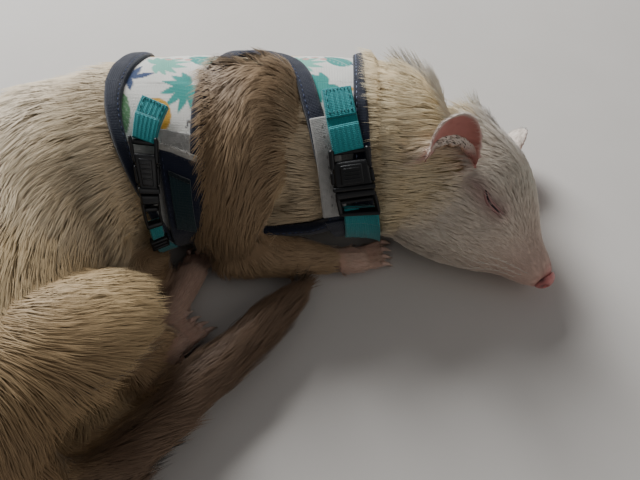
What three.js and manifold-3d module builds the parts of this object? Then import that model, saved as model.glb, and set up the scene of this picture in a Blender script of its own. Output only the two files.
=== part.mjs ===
// A ferret asleep on its left side in a small vest harness, life size, as a still display model.
// Millimetres, +Z up. The floor is z = 0, and the origin is the middle of the flat under the chest.
// The chest lies along X with the neck towards +X. The hind body curls round towards -Y, so that the
// right flank faces -Y and up. The flesh is modelled out to the tips of the coat.
import * as THREE from "three";
import { mergeVertices } from "three/addons/utils/BufferGeometryUtils.js";
import Module from "manifold-3d";

const wasm = await Module();
wasm.setup();

// Driving sizes
const GAP = 0.3; // between parts that touch
const CLOTH = { low: 0.6, high: 2.6 }; // the padded vest cloth, above the coat
const BINDING = { width: 6.5, thick: 3.2, lift: 2 };
const WEBBING = { width: 10, low: 3.9, high: 5.2 };
const NOSE_TIP = [100, -46.4, 11];
const HEAD = { heading: -55, drop: 15, roll: 42, back: 60 }; // degrees, and nose tip to neck
const DORSAL = -56; // degrees from the top of the chest to the line of the back, away from the camera
const COLLAR = 44; // distances along the spine are counted so that the vest's front edge is here
const SPLITS = { neck: 40, chest: 126, loin: 190 }; // where one length of the trunk ends

const COLOURS = {
  cream: [0xe6d6bb, 0.85],
  sand: [0xb49c7c, 0.9],
  brown: [0x5b4737, 0.9],
  skin: [0xd9a59a, 0.6],
  nose: [0xc97a78, 0.45],
  print: [0xeceae2, 0.8],
  navy: [0x222b45, 0.85],
  teal: [0x1f8f94, 0.7],
  black: [0x141416, 0.4],
  felt: [0xb9b9b6, 0.95],
};
const MATERIALS = Object.fromEntries(
  Object.entries(COLOURS).map(([name, [color, roughness]]) => [
    name,
    new THREE.MeshStandardMaterial({ name, color, roughness, metalness: 0 }),
  ]),
);

const UP = new THREE.Vector3(0, 0, 1);
const radians = THREE.MathUtils.degToRad;
const vec = (p) => new THREE.Vector3(...p);

// Solids

function solidOf(geometry) {
  const bare = geometry.index ? geometry.clone() : geometry;
  bare.deleteAttribute("normal");
  bare.deleteAttribute("uv");
  const merged = mergeVertices(bare, 1e-4);
  const solid = new wasm.Manifold(
    new wasm.Mesh({
      numProp: 3,
      vertProperties: merged.attributes.position.array,
      triVerts: new Uint32Array(merged.index.array),
    }),
  );
  return solid;
}

const largest = (solid) => solid.decompose().sort((a, b) => b.volume() - a.volume())[0];
const union = (solids) => solids.reduce((all, one) => all.add(one));
const cutBy = (solid, cutters) => cutters.reduce((left, one) => left.subtract(one), solid);

function box(size, centre, rotation = new THREE.Quaternion()) {
  const geometry = new THREE.BoxGeometry(...size);
  geometry.applyQuaternion(rotation);
  geometry.translate(...centre);
  return solidOf(geometry);
}

const BELOW_FLOOR = box([600, 600, 100], [0, 0, -50]);

function mesh(name, material, solid) {
  const { vertProperties, triVerts, numProp } = largest(solid.subtract(BELOW_FLOOR)).getMesh();
  const points = new Float32Array((vertProperties.length / numProp) * 3);
  for (let i = 0; i < points.length / 3; i++)
    points.set(vertProperties.subarray(i * numProp, i * numProp + 3), i * 3);
  const geometry = new THREE.BufferGeometry()
    .setAttribute("position", new THREE.BufferAttribute(points, 3))
    .setIndex(new THREE.BufferAttribute(triVerts, 1));
  geometry.computeVertexNormals();
  const made = new THREE.Mesh(geometry, MATERIALS[material]);
  made.name = name;
  return made;
}

// Rings of equal count, each a list of points, skinned into one closed surface. With closed true the
// last ring joins the first; otherwise each end is capped from its ring's middle.
function skinned(rings, { closed = false } = {}) {
  const sides = rings[0].length;
  const points = rings.flat().map((p) => p.clone());
  const faces = [];
  const last = closed ? rings.length : rings.length - 1;
  for (let i = 0; i < last; i++)
    for (let k = 0; k < sides; k++) {
      const a = i * sides + k;
      const b = i * sides + ((k + 1) % sides);
      const c = ((i + 1) % rings.length) * sides + ((k + 1) % sides);
      const d = ((i + 1) % rings.length) * sides + k;
      faces.push(a, b, c, a, c, d);
    }
  if (!closed)
    for (const [ring, first, flip] of [
      [rings[0], 0, true],
      [rings.at(-1), (rings.length - 1) * sides, false],
    ]) {
      const middle = ring.reduce((sum, p) => sum.add(p), new THREE.Vector3()).divideScalar(sides);
      points.push(middle);
      for (let k = 0; k < sides; k++) {
        const [a, b] = [first + k, first + ((k + 1) % sides)];
        faces.push(...(flip ? [points.length - 1, b, a] : [points.length - 1, a, b]));
      }
    }
  const geometry = new THREE.BufferGeometry().setFromPoints(points).setIndex(faces);
  const solid = solidOf(geometry);
  if (solid.volume() > 0) return solid;
  geometry.setIndex(faces.map((_, i) => faces[i - (i % 3) + [0, 2, 1][i % 3]]));
  return solidOf(geometry);
}

// An elliptical section swept along a smooth path. A station is [x, y, z, across, tall], where tall
// is the half size towards the sweep's top direction and across the half size at right angles to it.
class Sweep {
  // A mark [index, s] sets the distance at one station; without it distances start at the first.
  constructor(stations, mark) {
    this.path = new THREE.CatmullRomCurve3(stations.map((s) => vec(s.slice(0, 3))), false, "centripetal");
    this.path.arcLengthDivisions = 400;
    this.sizes = new THREE.CatmullRomCurve3(stations.map(([, , , w, t]) => vec([w, t, 0])), false, "catmullrom");
    this.top = UP;
    this.before = 0;
    if (mark) {
      const upTo = Math.round((mark[0] / (stations.length - 1)) * this.path.arcLengthDivisions);
      this.before = this.path.getLengths()[upTo] - mark[1];
    }
    this.whole = this.path.getLength();
    this.length = this.whole - this.before;
  }
  at(s) {
    const t = this.path.getUtoTmapping(THREE.MathUtils.clamp((s + this.before) / this.whole, 0, 1));
    const centre = this.path.getPoint(t);
    const along = this.path.getTangent(t);
    const top = this.top.clone().addScaledVector(along, -this.top.dot(along)).normalize();
    const side = top.clone().cross(along);
    const size = this.sizes.getPoint(t);
    return { centre, along, top, side, across: size.x, tall: size.y };
  }
  // The surface point at a distance along the path and an angle from the top, lifted off by lift.
  point(s, angle, lift = 0, share = 1) {
    const { centre, top, side, across, tall } = this.at(s);
    return centre
      .addScaledVector(side, (across * share + lift) * Math.sin(angle))
      .addScaledVector(top, (tall * share + lift) * Math.cos(angle));
  }
  // The frame that lies on the surface there: out of it, along the path and round the section.
  frame(s, angle, lift = 0) {
    const step = 0.01;
    const at = this.point(s, angle, lift);
    const along = this.point(s + 1, angle, lift).sub(this.point(s - 1, angle, lift)).normalize();
    const round = this.point(s, angle + step, lift).sub(this.point(s, angle - step, lift)).normalize();
    const out = along.clone().cross(round).normalize();
    return { at, along, round, out };
  }
  ring(s, sides, lift, share) {
    return Array.from({ length: sides }, (_, k) => this.point(s, (2 * Math.PI * k) / sides, lift, share));
  }
  solid({ from = 0, to = this.length, step = 6, sides = 24, lift = 0, round = [0, 0] }) {
    const stops = [];
    const [first, last] = round;
    const turns = 2;
    for (let k = 1; first && k < turns; k++) {
      const turn = (k / turns) * (Math.PI / 2);
      stops.push([from + first * (1 - Math.cos(turn)), Math.sin(turn)]);
    }
    const count = Math.max(1, Math.round((to - last - from - first) / step));
    for (let k = 0; k <= count; k++) stops.push([from + first + ((to - last - from - first) * k) / count, 1]);
    for (let k = turns - 1; last && k > 0; k--) {
      const turn = (k / turns) * (Math.PI / 2);
      stops.push([to - last * (1 - Math.cos(turn)), Math.sin(turn)]);
    }
    stops[0][0] -= lift;
    stops.at(-1)[0] += lift;
    return skinned(stops.map(([s, share]) => this.ring(s, sides, lift, share)));
  }
  // A solid sheet on the surface between two angles, in degrees. The functions start and end give
  // the distances along the path at an angle.
  sheet({ start, end, angles, low, high, step = 11, turn = 12 }) {
    const wide = Math.max(2, Math.round(Math.abs(angles[1] - angles[0]) / turn));
    const middle = (angles[0] + angles[1]) / 2;
    const long = Math.max(2, Math.round((end(middle) - start(middle)) / step));
    const rings = [];
    for (let k = 0; k <= wide; k++) {
      const angle = angles[0] + ((angles[1] - angles[0]) * k) / wide;
      const row = (lift) =>
        Array.from({ length: long + 1 }, (_, i) => {
          const s = start(angle) + ((end(angle) - start(angle)) * i) / long;
          return this.point(s, radians(angle), lift);
        });
      rings.push([...row(high), ...row(low).reverse()]);
    }
    return skinned(rings);
  }
}

// A flat strip with a rounded section along points on a sweep's surface, each [s, angle, lift].
function strip(sweep, spots, width, thick, closed = false) {
  const places = spots.map(([s, angle, lift]) => sweep.frame(s, angle, lift));
  const count = places.length;
  const rings = places.map(({ at, out }, i) => {
    const next = places[closed ? (i + 1) % count : Math.min(i + 1, count - 1)].at;
    const before = places[closed ? (i + count - 1) % count : Math.max(i - 1, 0)].at;
    const along = next.clone().sub(before).normalize();
    const across = out.clone().cross(along).normalize();
    const up = along.clone().cross(across);
    const profile = [
      [-1, -1],
      [1, -1],
      [0.8, 1],
      [-0.8, 1],
    ];
    return profile.map(([x, y]) =>
      at
        .clone()
        .addScaledVector(across, (x * width) / 2)
        .addScaledVector(up, (y * thick) / 2),
    );
  });
  return skinned(rings, { closed });
}

// Every part is kept as a function of how far it is grown outwards. A part is cut by all those before
// it that it meets, grown by the gap, so that neighbours follow each other face to face.

const made = [];

function overlaps(one, two) {
  const [a, b] = [one.boundingBox(), two.boundingBox()];
  return [0, 1, 2].every((i) => a.min[i] < b.max[i] && b.min[i] < a.max[i]);
}

function add(name, material, shape) {
  let solid = shape(0).subtract(BELOW_FLOOR);
  for (const other of made)
    if (overlaps(solid, other.grown)) solid = solid.subtract(other.grown);
  made.push({ name, material, solid: largest(solid), grown: shape(GAP) });
}

// The head, in its own frame: x forward from the nose tip, y to the animal's left, z towards the crown

function headFrame() {
  const forward = new THREE.Vector3(1, 0, 0)
    .applyAxisAngle(new THREE.Vector3(0, 1, 0), radians(HEAD.drop))
    .applyAxisAngle(UP, radians(HEAD.heading));
  const left = UP.clone().cross(forward).normalize();
  const crown = forward.clone().cross(left);
  left.applyAxisAngle(forward, -radians(HEAD.roll));
  crown.applyAxisAngle(forward, -radians(HEAD.roll));
  return new THREE.Matrix4().makeBasis(forward, left, crown).setPosition(...NOSE_TIP);
}
const toHead = headFrame();
const inHead = (x, y, z) => vec([x, y, z]).applyMatrix4(toHead);
const headAxis = (x, y, z) => vec([x, y, z]).transformDirection(toHead);

// Back from the nose: top, bottom and half width of the head out to its coat
const SKULL = [
  [1.2, 2.2, -3.4, 3.4],
  [-1.5, 4.4, -6, 6.4],
  [-6, 6.2, -9, 9],
  [-11, 7.8, -12, 11],
  [-16, 10.6, -17, 14.8],
  [-22, 14.6, -22, 18.6],
  [-28, 18.2, -26.6, 22],
  [-36, 21.4, -31, 25],
  [-44, 22.6, -34, 26.6],
  [-52, 22.6, -36, 27.2],
  [-60, 23, -36.4, 28.4],
  [-68, 23, -36.6, 28.6],
];
const skullCurve = new THREE.CatmullRomCurve3(
  SKULL.map(([x, top, bottom]) => vec([x, top, bottom])), false, "catmullrom",
);
const skullWidth = new THREE.CatmullRomCurve3(
  SKULL.map(([x, , , w]) => vec([x, w, 0])), false, "catmullrom",
);
// The point of the head's surface back at x and at an angle from the crown, positive to the right.
function onHead(x, angle, lift = 0) {
  let [low, high] = [0, 1];
  for (let i = 0; i < 30; i++) {
    const t = (low + high) / 2;
    if (skullCurve.getPoint(t).x > x) low = t;
    else high = t;
  }
  const { y: top, z: bottom } = skullCurve.getPoint(low);
  const width = skullWidth.getPoint(low).y;
  const [sin, cos] = [Math.sin(angle), Math.cos(angle)];
  const tall = (top - bottom) / 2;
  const square = 1 + (cos < 0 ? 0.17 : 0.05) * Math.sin(2 * angle) ** 2;
  return inHead(x, -(width + lift) * sin * square, (top + bottom) / 2 + (tall + lift) * cos * square);
}

// A thin tool that follows points on the head's surface, for a groove
function groove(spots, radius, lift = 0) {
  const path = new THREE.CatmullRomCurve3(spots.map(([x, angle]) => onHead(x, radians(angle), lift)));
  const stations = Array.from({ length: 9 }, (_, i) => {
    const at = path.getPoint(i / 8);
    return [at.x, at.y, at.z, radius, radius];
  });
  return new Sweep(stations).solid({ step: 2.4, sides: 4 });
}

function ball(centre, sizes, sides = 12) {
  const geometry = new THREE.SphereGeometry(1, sides, Math.round(sides * 0.6));
  geometry.scale(...sizes);
  geometry.translate(...centre);
  geometry.applyMatrix4(toHead);
  return solidOf(geometry);
}

const EYE = { slit: [[-25, 56], [-27.6, 61], [-31, 63.4], [-34.6, 61]], middle: [-29.8, 16, 5.6] };
const MOUTH = [[-1.6, 158], [-6, 140], [-12, 127], [-18, 120], [-23, 112]];
const mirror = (spots) => spots.map(([x, angle]) => [x, -angle]);

function skull(lift) {
  const sides = 28;
  const stops = [0.6, -0.4, -2, -4, -6.5, -9, -12, -15, -18, -21, -24, -27, -30, -33, -37, -41, -46, -51, -56, -HEAD.back + HALF_GAP];
  const rings = stops.map((x, i) =>
    Array.from({ length: sides }, (_, k) => {
      const at = onHead(x, (2 * Math.PI * k) / sides, lift);
      return i === 0 ? at.addScaledVector(headAxis(1, 0, 0), lift) : at;
    }),
  );
  let solid = skinned(rings);
  if (lift > 0) return solid;
  for (const side of [1, -1]) {
    const [x, y, z] = EYE.middle;
    solid = solid.add(ball([x, -side * y, z], [6.4, 3.6, 4.4]));
    solid = solid.add(ball([x + 20, -side * 4.2, -4.6], [5.2, 3.2, 3.6]));
    solid = solid.subtract(groove(side > 0 ? EYE.slit : mirror(EYE.slit), 0.55, 0.7));
    solid = solid.subtract(groove(side > 0 ? MOUTH : mirror(MOUTH), 0.5, 0.1));
  }
  return solid;
}

function nosePad(lift) {
  let solid = ball([0.6, 0, -0.2], [3.2 + lift, 5 + lift, 3.8 + lift], 14);
  if (lift > 0) return solid;
  for (const side of [1, -1]) solid = solid.subtract(ball([2.9, side * 2.1, -0.7], [1.5, 1.2, 0.9], 8));
  return solid.subtract(ball([3.6, 0, -2], [1.4, 0.35, 2], 8));
}

// An ear: a thin cup that opens forwards and outwards, narrow and tightly curled at its root
function ear(side, lift) {
  const [tall, wide, thick] = [25, 9.8, 1.5];
  const root = [-46, side * 26, 4];
  const axis = vec([-0.3, side * 0.62, 0.72]).normalize();
  const open = vec([0.72, side * 0.62, 0.1]);
  open.addScaledVector(axis, -open.dot(axis)).normalize();
  const across = axis.clone().cross(open);
  const rows = 9;
  const sides = 10;
  const rings = [];
  for (let i = 0; i <= rows; i++) {
    const t = i / rows;
    const w = wide * (0.72 + 0.28 * Math.sin(Math.min(1, t * 1.7) * 1.57)) * Math.sqrt(Math.max(0.02, 1 - t ** 4.5));
    const curl = radians(105 - 55 * t);
    const radius = w / Math.sin(Math.min(curl, Math.PI / 2));
    const h = -7 - lift + (tall + 7 + 2 * lift) * t;
    const arc = (grow) =>
      Array.from({ length: sides + 1 }, (_, k) => {
        const a = curl * ((2 * k) / sides - 1);
        const depth = radius + grow;
        const back = -Math.cos(a) * depth + radius * Math.cos(curl) * 0.6 + 3;
        return vec(root)
          .addScaledVector(axis, h)
          .addScaledVector(across, Math.sin(a) * depth)
          .addScaledVector(open, back * (1 - 0.35 * t) - 2.5 * t)
          .applyMatrix4(toHead);
      });
    rings.push([...arc(lift), ...arc(-thick - lift).reverse()]);
  }
  return skinned(rings);
}

// The trunk: neck, chest, abdomen and rump in one sweep, from behind the head to the tail's root

const spine = new Sweep([
  [70, 3, 27, 33, 25],
  [54, 0, 29.6, 37, 28.3],
  [43, 1, 30.5, 35.5, 28.6],
  [35, 1, 30, 31.6, 27.6],
  [16, 1.5, 29.7, 33, 27.7],
  [-8, 1.5, 29.7, 34, 27.7],
  [-33, -0.5, 30.2, 34.5, 28.2],
  [-52, -6, 31.6, 36, 30.3],
  [-68, -16, 33.4, 38, 33.6],
  [-78, -32, 34, 38.5, 34.4],
  [-81, -52, 34, 38, 34.4],
  [-80, -75, 33.6, 37, 34],
  [-76, -96, 32, 34, 32.2],
  [-68, -112, 29, 28, 28],
  [-58, -121, 25, 21, 21],
  [-48, -122, 21, 14, 14],
], [3, COLLAR]);
const HALF_GAP = GAP / 2;
const trunk = (from, to, options = {}) => (lift) =>
  spine.solid({ from, to, sides: 28, step: 10, lift, ...options });

// The neck turns towards the head: a length that carries the head's own section on, and the ruff
const nape = new Sweep([
  [...inHead(-HEAD.back - HALF_GAP, 0, -6.6), 28.2, 29.4],
  [...inHead(-HEAD.back - 8, 0, -5.4), 29.4, 28],
  [...inHead(-HEAD.back - 18, 0, -3), 29.6, 26.4],
]);
function neck(lift) {
  const ruff = spine.solid({
    from: -spine.before, to: SPLITS.neck - HALF_GAP, sides: 28, step: 10, lift, round: [9, 0],
  });
  return nape.solid({ sides: 28, step: 10, lift, round: [0, 8] }).add(ruff);
}

const limb = (stations, { sides = 16, step = 7, round = [0, 0] } = {}) => {
  const sweep = new Sweep(stations);
  return (lift) => sweep.solid({ sides, step, lift, round });
};

function withToes(stations, toes, claw) {
  const palm = limb(stations, { sides: 10, step: 7, round: [2, 3] });
  const digits = toes.map((toe) => limb(toe, { sides: 6, step: 6, round: [0, 2.2] }));
  const nails = toes.map((toe) => {
    const [before, end] = toe.slice(-2).map((s) => vec(s.slice(0, 3)));
    const ahead = end.clone().sub(before).normalize();
    const tip = end.clone().addScaledVector(ahead, claw);
    const root = end.clone().addScaledVector(ahead, -2.5);
    return limb([[...root.toArray(), 1.1, 1.3], [...tip.setZ(Math.max(0.9, tip.z - 1.4)).toArray(), 0.35, 0.4]], {
      sides: 5,
      step: 4,
    });
  });
  return (lift) => union([palm, ...digits, ...nails].map((part) => part(lift)));
}

// The left foreleg lies on the floor on the far side, under the neck
add("foreleg_left_upper", "brown", limb([
  [14, 22, 26, 12, 9],
  [4, 25, 21, 14, 10],
  [-6, 26.5, 14, 12, 9.5],
  [-10, 27, 9, 9, 8],
], { round: [5, 4] }));
add("foreleg_left_lower", "brown", limb([
  [-10, 27.5, 8, 8, 7.5],
  [6, 31, 7.6, 7.5, 7],
  [24, 32, 7.2, 7, 6.5],
  [40, 30, 6.6, 6, 5.6],
], { round: [4, 0] }));
add("forepaw_left", "skin", withToes(
  [[40, 30, 5.6, 5.6, 4.8], [48, 28.5, 5.2, 6.4, 4.6], [54, 27, 4.4, 6, 3.8]],
  [-1.5, -0.5, 0.5, 1.5].map((k) => [
    [52, 27.5 + k * 2.6, 4.4, 2, 2.2],
    [58, 26 + k * 3.1, 3.6, 2.1, 2.1],
    [61, 25.4 + k * 3.3, 2.8, 1.8, 1.8],
  ]), 3));

// The left hind leg comes out from under the belly
add("hindfoot_left", "skin", withToes(
  [[-34, -66, 8, 5.6, 5.6], [-31, -54, 6.6, 5.6, 5], [-28, -42, 6, 6.6, 4.8], [-26.5, -37, 5.4, 6, 4.2]],
  [-1.5, -0.5, 0.5, 1.5].map((k) => [
    [-27 + k * 2.7, -39, 5.2, 2, 2.2],
    [-25.5 + k * 3.2, -33, 4.4, 2.1, 2.2],
    [-24.6 + k * 3.4, -30, 3.6, 1.8, 1.8],
  ]), 3));
add("hindleg_left_shank", "sand", limb([
  [-58, -60, 14, 12, 12],
  [-47, -64, 11.5, 9.5, 9.5],
  [-37, -67, 8.6, 7, 7],
], { round: [0, 4] }));

add("head", "cream", skull);
add("nose", "nose", nosePad);
add("neck", "cream", neck);
add("ear_right", "skin", (lift) => ear(-1, lift));
add("ear_left", "skin", (lift) => ear(1, lift));
add("chest", "cream", trunk(SPLITS.neck + HALF_GAP, SPLITS.chest - HALF_GAP));
add("abdomen", "sand", trunk(SPLITS.chest + HALF_GAP, SPLITS.loin - HALF_GAP));
add("rump", "sand", trunk(SPLITS.loin + HALF_GAP, spine.length, { round: [0, 5] }));

// The right foreleg comes out of the vest's upper armhole, bends at the elbow and lies forward
add("foreleg_right_upper", "brown", limb([
  [-2, 15, 53, 16, 8],
  [-3, 4, 54, 20, 11],
  [-5, -12, 50, 20.5, 12],
  [-8, -24, 40, 19, 12.5],
  [-12, -31, 27, 15, 11.5],
  [-13, -33.5, 18, 13, 10.5],
], { sides: 20, round: [4, 0] }));
add("foreleg_right_lower", "brown", limb([
  [-20, -33, 14, 9.5, 9.5],
  [-12, -35, 11.5, 10.5, 10],
  [0, -35, 10.6, 10.4, 10.4],
  [12, -35.5, 9, 9, 9],
  [25, -35.5, 6.6, 6.4, 5.8],
], { round: [6, 0] }));
add("forepaw_right", "skin", withToes(
  [[25, -35.5, 6.2, 6, 5.4], [32, -34.5, 5.8, 6.8, 5], [37, -33, 4.8, 6.4, 4.2]],
  [-1.5, -0.5, 0.5, 1.5].map((k) => [
    [35, -33.4 + k * 2.8, 4.8, 2.1, 2.4],
    [40.5, -31.6 + k * 3.2, 4.2, 2.2, 2.3],
    [44, -30.4 + k * 3.3, 3.2, 1.9, 1.9],
  ]), 3.2));

// The right hind leg lies folded on the rump, with its foot forward
add("hindleg_right_thigh", "sand", limb([
  [-74, -94, 46, 20, 14],
  [-64, -89, 47, 25, 17],
  [-52, -81, 42, 24, 17],
  [-41, -73, 34, 18, 15],
  [-34, -68, 28, 13, 12],
], { sides: 22, round: [8, 6] }));
add("hindleg_right_shank", "sand", limb([
  [-35, -68, 25, 11, 10],
  [-38, -78, 20, 9.5, 9],
  [-42, -88, 14.5, 7.5, 7.5],
], { round: [4, 4] }));
add("hindfoot_right", "skin", withToes(
  [[-43, -90, 12, 5.8, 5.6], [-36, -80, 10.6, 5.6, 5], [-29, -70.5, 9.4, 6.4, 4.8], [-27, -67.5, 8.8, 6, 4.2]],
  [-1.5, -0.5, 0.5, 1.5].map((k) => [
    [-28 + k * 2.2, -69 - k * 1.6, 8.6, 2, 2.2],
    [-24.5 + k * 2.6, -64.5 - k * 1.9, 8, 2.1, 2.2],
    [-22.8 + k * 2.8, -62.2 - k * 2, 7.2, 1.8, 1.8],
  ]), 3));

// The tail curls out from the rump and lies forward along the legs
const tail = new Sweep([
  [-55, -123, 20, 14, 14],
  [-44, -116, 15, 12.5, 12.5],
  [-34, -103, 12.4, 11.8, 11.8],
  [-21, -88, 11.4, 11, 11],
  [-7, -74, 10.6, 10.2, 10.2],
  [4, -61, 9.4, 9, 9],
  [11, -51, 7.6, 7, 7],
  [15, -45.5, 5.6, 3.6, 3.6],
]);
const tailPart = (from, to, round) => (lift) =>
  tail.solid({ from, to, sides: 16, step: 8, lift, round });
add("tail_root", "brown", tailPart(0, 42 - HALF_GAP, [0, 0]));
add("tail_middle", "brown", tailPart(42 + HALF_GAP, 76 - HALF_GAP, [0, 0]));
add("tail_tip", "brown", tailPart(76 + HALF_GAP, tail.length, [0, 4]));

// The vest. Its rear edge dips towards the belly and the back, and each foreleg has its armhole.

const rearEdge = (angle) => 126.5 + 7.5 * Math.cos(radians(2 * (angle - DORSAL - 90)));
const ARMHOLE = [
  [85, -40], [68, -16], [61, 18], [57, 45], [52, 80], [57, 104],
  [78, 112], [97, 98], [102, 70], [101, 42], [99, 12], [94, -14],
];
const FAR_ARMHOLE = ARMHOLE.map(([s, angle]) => [s, 2 * DORSAL - 2 - angle * 0.6]);
const smoothLoop = (spots, count) => {
  const curve = new THREE.CatmullRomCurve3(spots.map(([s, angle]) => vec([s, angle, 0])), true);
  return Array.from({ length: count }, (_, i) => {
    const at = curve.getPoint(i / count);
    return [at.x, radians(at.y)];
  });
};
const band = (spots, lift) =>
  strip(spine, spots.map(([s, a]) => [s, a, BINDING.lift]), BINDING.width + 2 * lift, BINDING.thick + 2 * lift, true);

const bindingLoops = {
  binding_collar: Array.from({ length: 24 }, (_, i) => [COLLAR, (i / 24) * 2 * Math.PI]),
  binding_rear: Array.from({ length: 24 }, (_, i) => [rearEdge((i / 24) * 360), (i / 24) * 2 * Math.PI]),
  binding_armhole_right: smoothLoop(ARMHOLE, 22),
  binding_armhole_left: smoothLoop(FAR_ARMHOLE, 20),
};
for (const [name, spots] of Object.entries(bindingLoops)) add(name, "navy", (lift) => band(spots, lift));

// What lies inside an armhole is taken out of the cloth
function hole(spots) {
  const middle = spots.reduce((sum, spot) => sum.add(spine.point(...spot)), new THREE.Vector3());
  middle.divideScalar(spots.length);
  const ring = (lift) =>
    spots.map(([s, angle]) => {
      const at = spine.point(s, angle, lift);
      const away = at.clone().sub(middle);
      const { out } = spine.frame(s, angle);
      away.addScaledVector(out, -away.dot(out)).normalize();
      return at.addScaledVector(away, BINDING.width / 2 + 0.8);
    });
  return skinned([ring(-2), ring(8)]);
}
const holes = [hole(smoothLoop(ARMHOLE, 26)), hole(smoothLoop(FAR_ARMHOLE, 20))];
const SEAM = 36; // degrees from the top, where the printed back meets the belly
const cloth = (angles) => (lift) =>
  cutBy(
    spine.sheet({
      start: () => COLLAR + BINDING.width / 2 + 0.6,
      end: (angle) => rearEdge(angle) - BINDING.width / 2 - 0.8,
      angles,
      low: CLOTH.low - lift,
      high: CLOTH.high + lift,
    }),
    lift > 0 ? [] : holes,
  );
add("vest_back", "print", cloth([2 * DORSAL - SEAM, SEAM]));
add("vest_belly", "felt", cloth([SEAM + 0.8, 360 + 2 * DORSAL - SEAM - 0.8]));

// Flat things laid over the vest along a line of spots, each a distance along and an angle
function laid(name, material, spots, width, low, high) {
  const line = new THREE.CatmullRomCurve3(spots.map(([s, angle]) => vec([s, angle, 0])));
  const count = Math.max(3, Math.round(Math.abs(spots.at(-1)[1] - spots[0][1]) / 8));
  const shape = (lift) =>
    strip(
      spine,
      Array.from({ length: count + 1 }, (_, i) => {
        const { x, y } = line.getPoint(i / count);
        return [x, radians(y), (low + high) / 2];
      }),
      width + 2 * lift,
      high - low + 2 * lift,
    );
  add(name, material, shape);
}
const BUCKLE = { width: 14, low: 3.9, high: 8.6 };
laid("buckle_girth_socket", "black", [[124, 36], [125.5, 50], [126.8, 60]], BUCKLE.width, BUCKLE.low, BUCKLE.high);
laid("buckle_girth_prongs", "black", [[127, 61.4], [128, 72], [128, 79]], BUCKLE.width - 1, BUCKLE.low, BUCKLE.high);
laid("buckle_girth_slider", "black", [[127.5, 90], [127, 96]], BUCKLE.width, BUCKLE.low, 6.9);
laid("buckle_neck_socket", "black", [[48.4, 44], [47.6, 54], [46.8, 63]], BUCKLE.width, BUCKLE.low, BUCKLE.high);
laid("buckle_neck_prongs", "black", [[46.7, 64.4], [45.8, 72], [45, 78]], BUCKLE.width - 1, BUCKLE.low, BUCKLE.high);
laid("strap_girth_upper", "teal", [[115, 17], [119, 24], [123, 34]], WEBBING.width, WEBBING.low, WEBBING.high);
laid("strap_girth_lower", "teal", [[128, 80], [127, 95], [122, 115]], WEBBING.width, WEBBING.low, WEBBING.high);
laid("strap_neck_upper", "teal", [[52, 10], [50.5, 26], [48.6, 42]], WEBBING.width, WEBBING.low, WEBBING.high);
laid("strap_neck_lower", "teal", [[44.8, 79], [44, 100], [44, 118]], WEBBING.width, WEBBING.low, WEBBING.high);
laid("closure_neck", "felt", [[56.5, 26], [53, 54], [50, 84]], 5, 2.9, 3.7);

const items = made.map(({ name, material, solid }) => mesh(name, material, solid));
const group = new THREE.Group();
group.add(...items);

export default group;
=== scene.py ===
import math

import bmesh
import bpy
import numpy as np
from mathutils import Matrix, Vector
from mathutils.bvhtree import BVHTree
from mathutils.kdtree import KDTree


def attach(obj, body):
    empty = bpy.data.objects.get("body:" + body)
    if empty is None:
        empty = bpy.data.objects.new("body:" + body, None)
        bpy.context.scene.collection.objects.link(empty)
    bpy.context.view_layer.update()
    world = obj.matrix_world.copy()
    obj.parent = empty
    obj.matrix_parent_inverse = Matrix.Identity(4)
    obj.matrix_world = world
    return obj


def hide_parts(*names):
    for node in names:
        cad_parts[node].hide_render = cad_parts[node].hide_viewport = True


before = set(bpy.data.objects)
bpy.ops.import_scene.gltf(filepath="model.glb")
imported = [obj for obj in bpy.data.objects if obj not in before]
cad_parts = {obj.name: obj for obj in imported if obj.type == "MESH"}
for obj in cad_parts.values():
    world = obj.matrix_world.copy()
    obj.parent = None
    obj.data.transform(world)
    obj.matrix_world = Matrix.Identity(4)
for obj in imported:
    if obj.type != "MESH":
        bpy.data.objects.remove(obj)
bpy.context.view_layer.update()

# A ferret asleep in a vest harness. Metres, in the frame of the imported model: +X along the chest
# towards the head, -Y towards the camera, +Z up, floor at z = 0. Sizes below are in millimetres.

MM = 0.001
rng = np.random.default_rng(11)

# Above the open side of the curl, looking down: place, degrees from straight down, and lens
CAMERA = {"at": (20, -162, 200), "tilt": 35, "lens": 34.875, "sensor": 36}


def placed(name, data):
    """A new object with the data, linked to the scene."""
    made = bpy.data.objects.new(name, data)
    bpy.context.collection.objects.link(made)
    return made


def make_camera():
    data = bpy.data.cameras.new("camera")
    data.lens = CAMERA["lens"]
    data.sensor_width = CAMERA["sensor"]
    camera = placed("camera", data)
    camera.location = [v * MM for v in CAMERA["at"]]
    camera.rotation_euler = (math.radians(CAMERA["tilt"]), 0, 0)
    bpy.context.scene.camera = camera


make_camera()

# Driving sizes, the same as the solids'. The head's turns and all angles are in degrees.
NOSE_TIP = (100, -46.4, 11)
HEAD = {"heading": -55, "drop": 15, "roll": 42}
# The angle of the middle of the back round the trunk, as the animal lies on its side
DORSAL = -56
# On the trunk a spot is a distance along the spine and an angle round it from the top
COLLAR = 44
ARMHOLE = [
    (85, -40), (68, -16), (61, 18), (57, 45), (52, 80), (57, 104),
    (78, 112), (97, 98), (102, 70), (101, 42), (99, 12), (94, -14),
]
# The angle at which the printed cloth of the back ends above; below it ends at the mirror image
SEAM = 36
# The rear edge of the vest lies at the middle distance, and swings by this much round the trunk
REAR_MIDDLE, REAR_SWING = 126.5, 7.5
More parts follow.
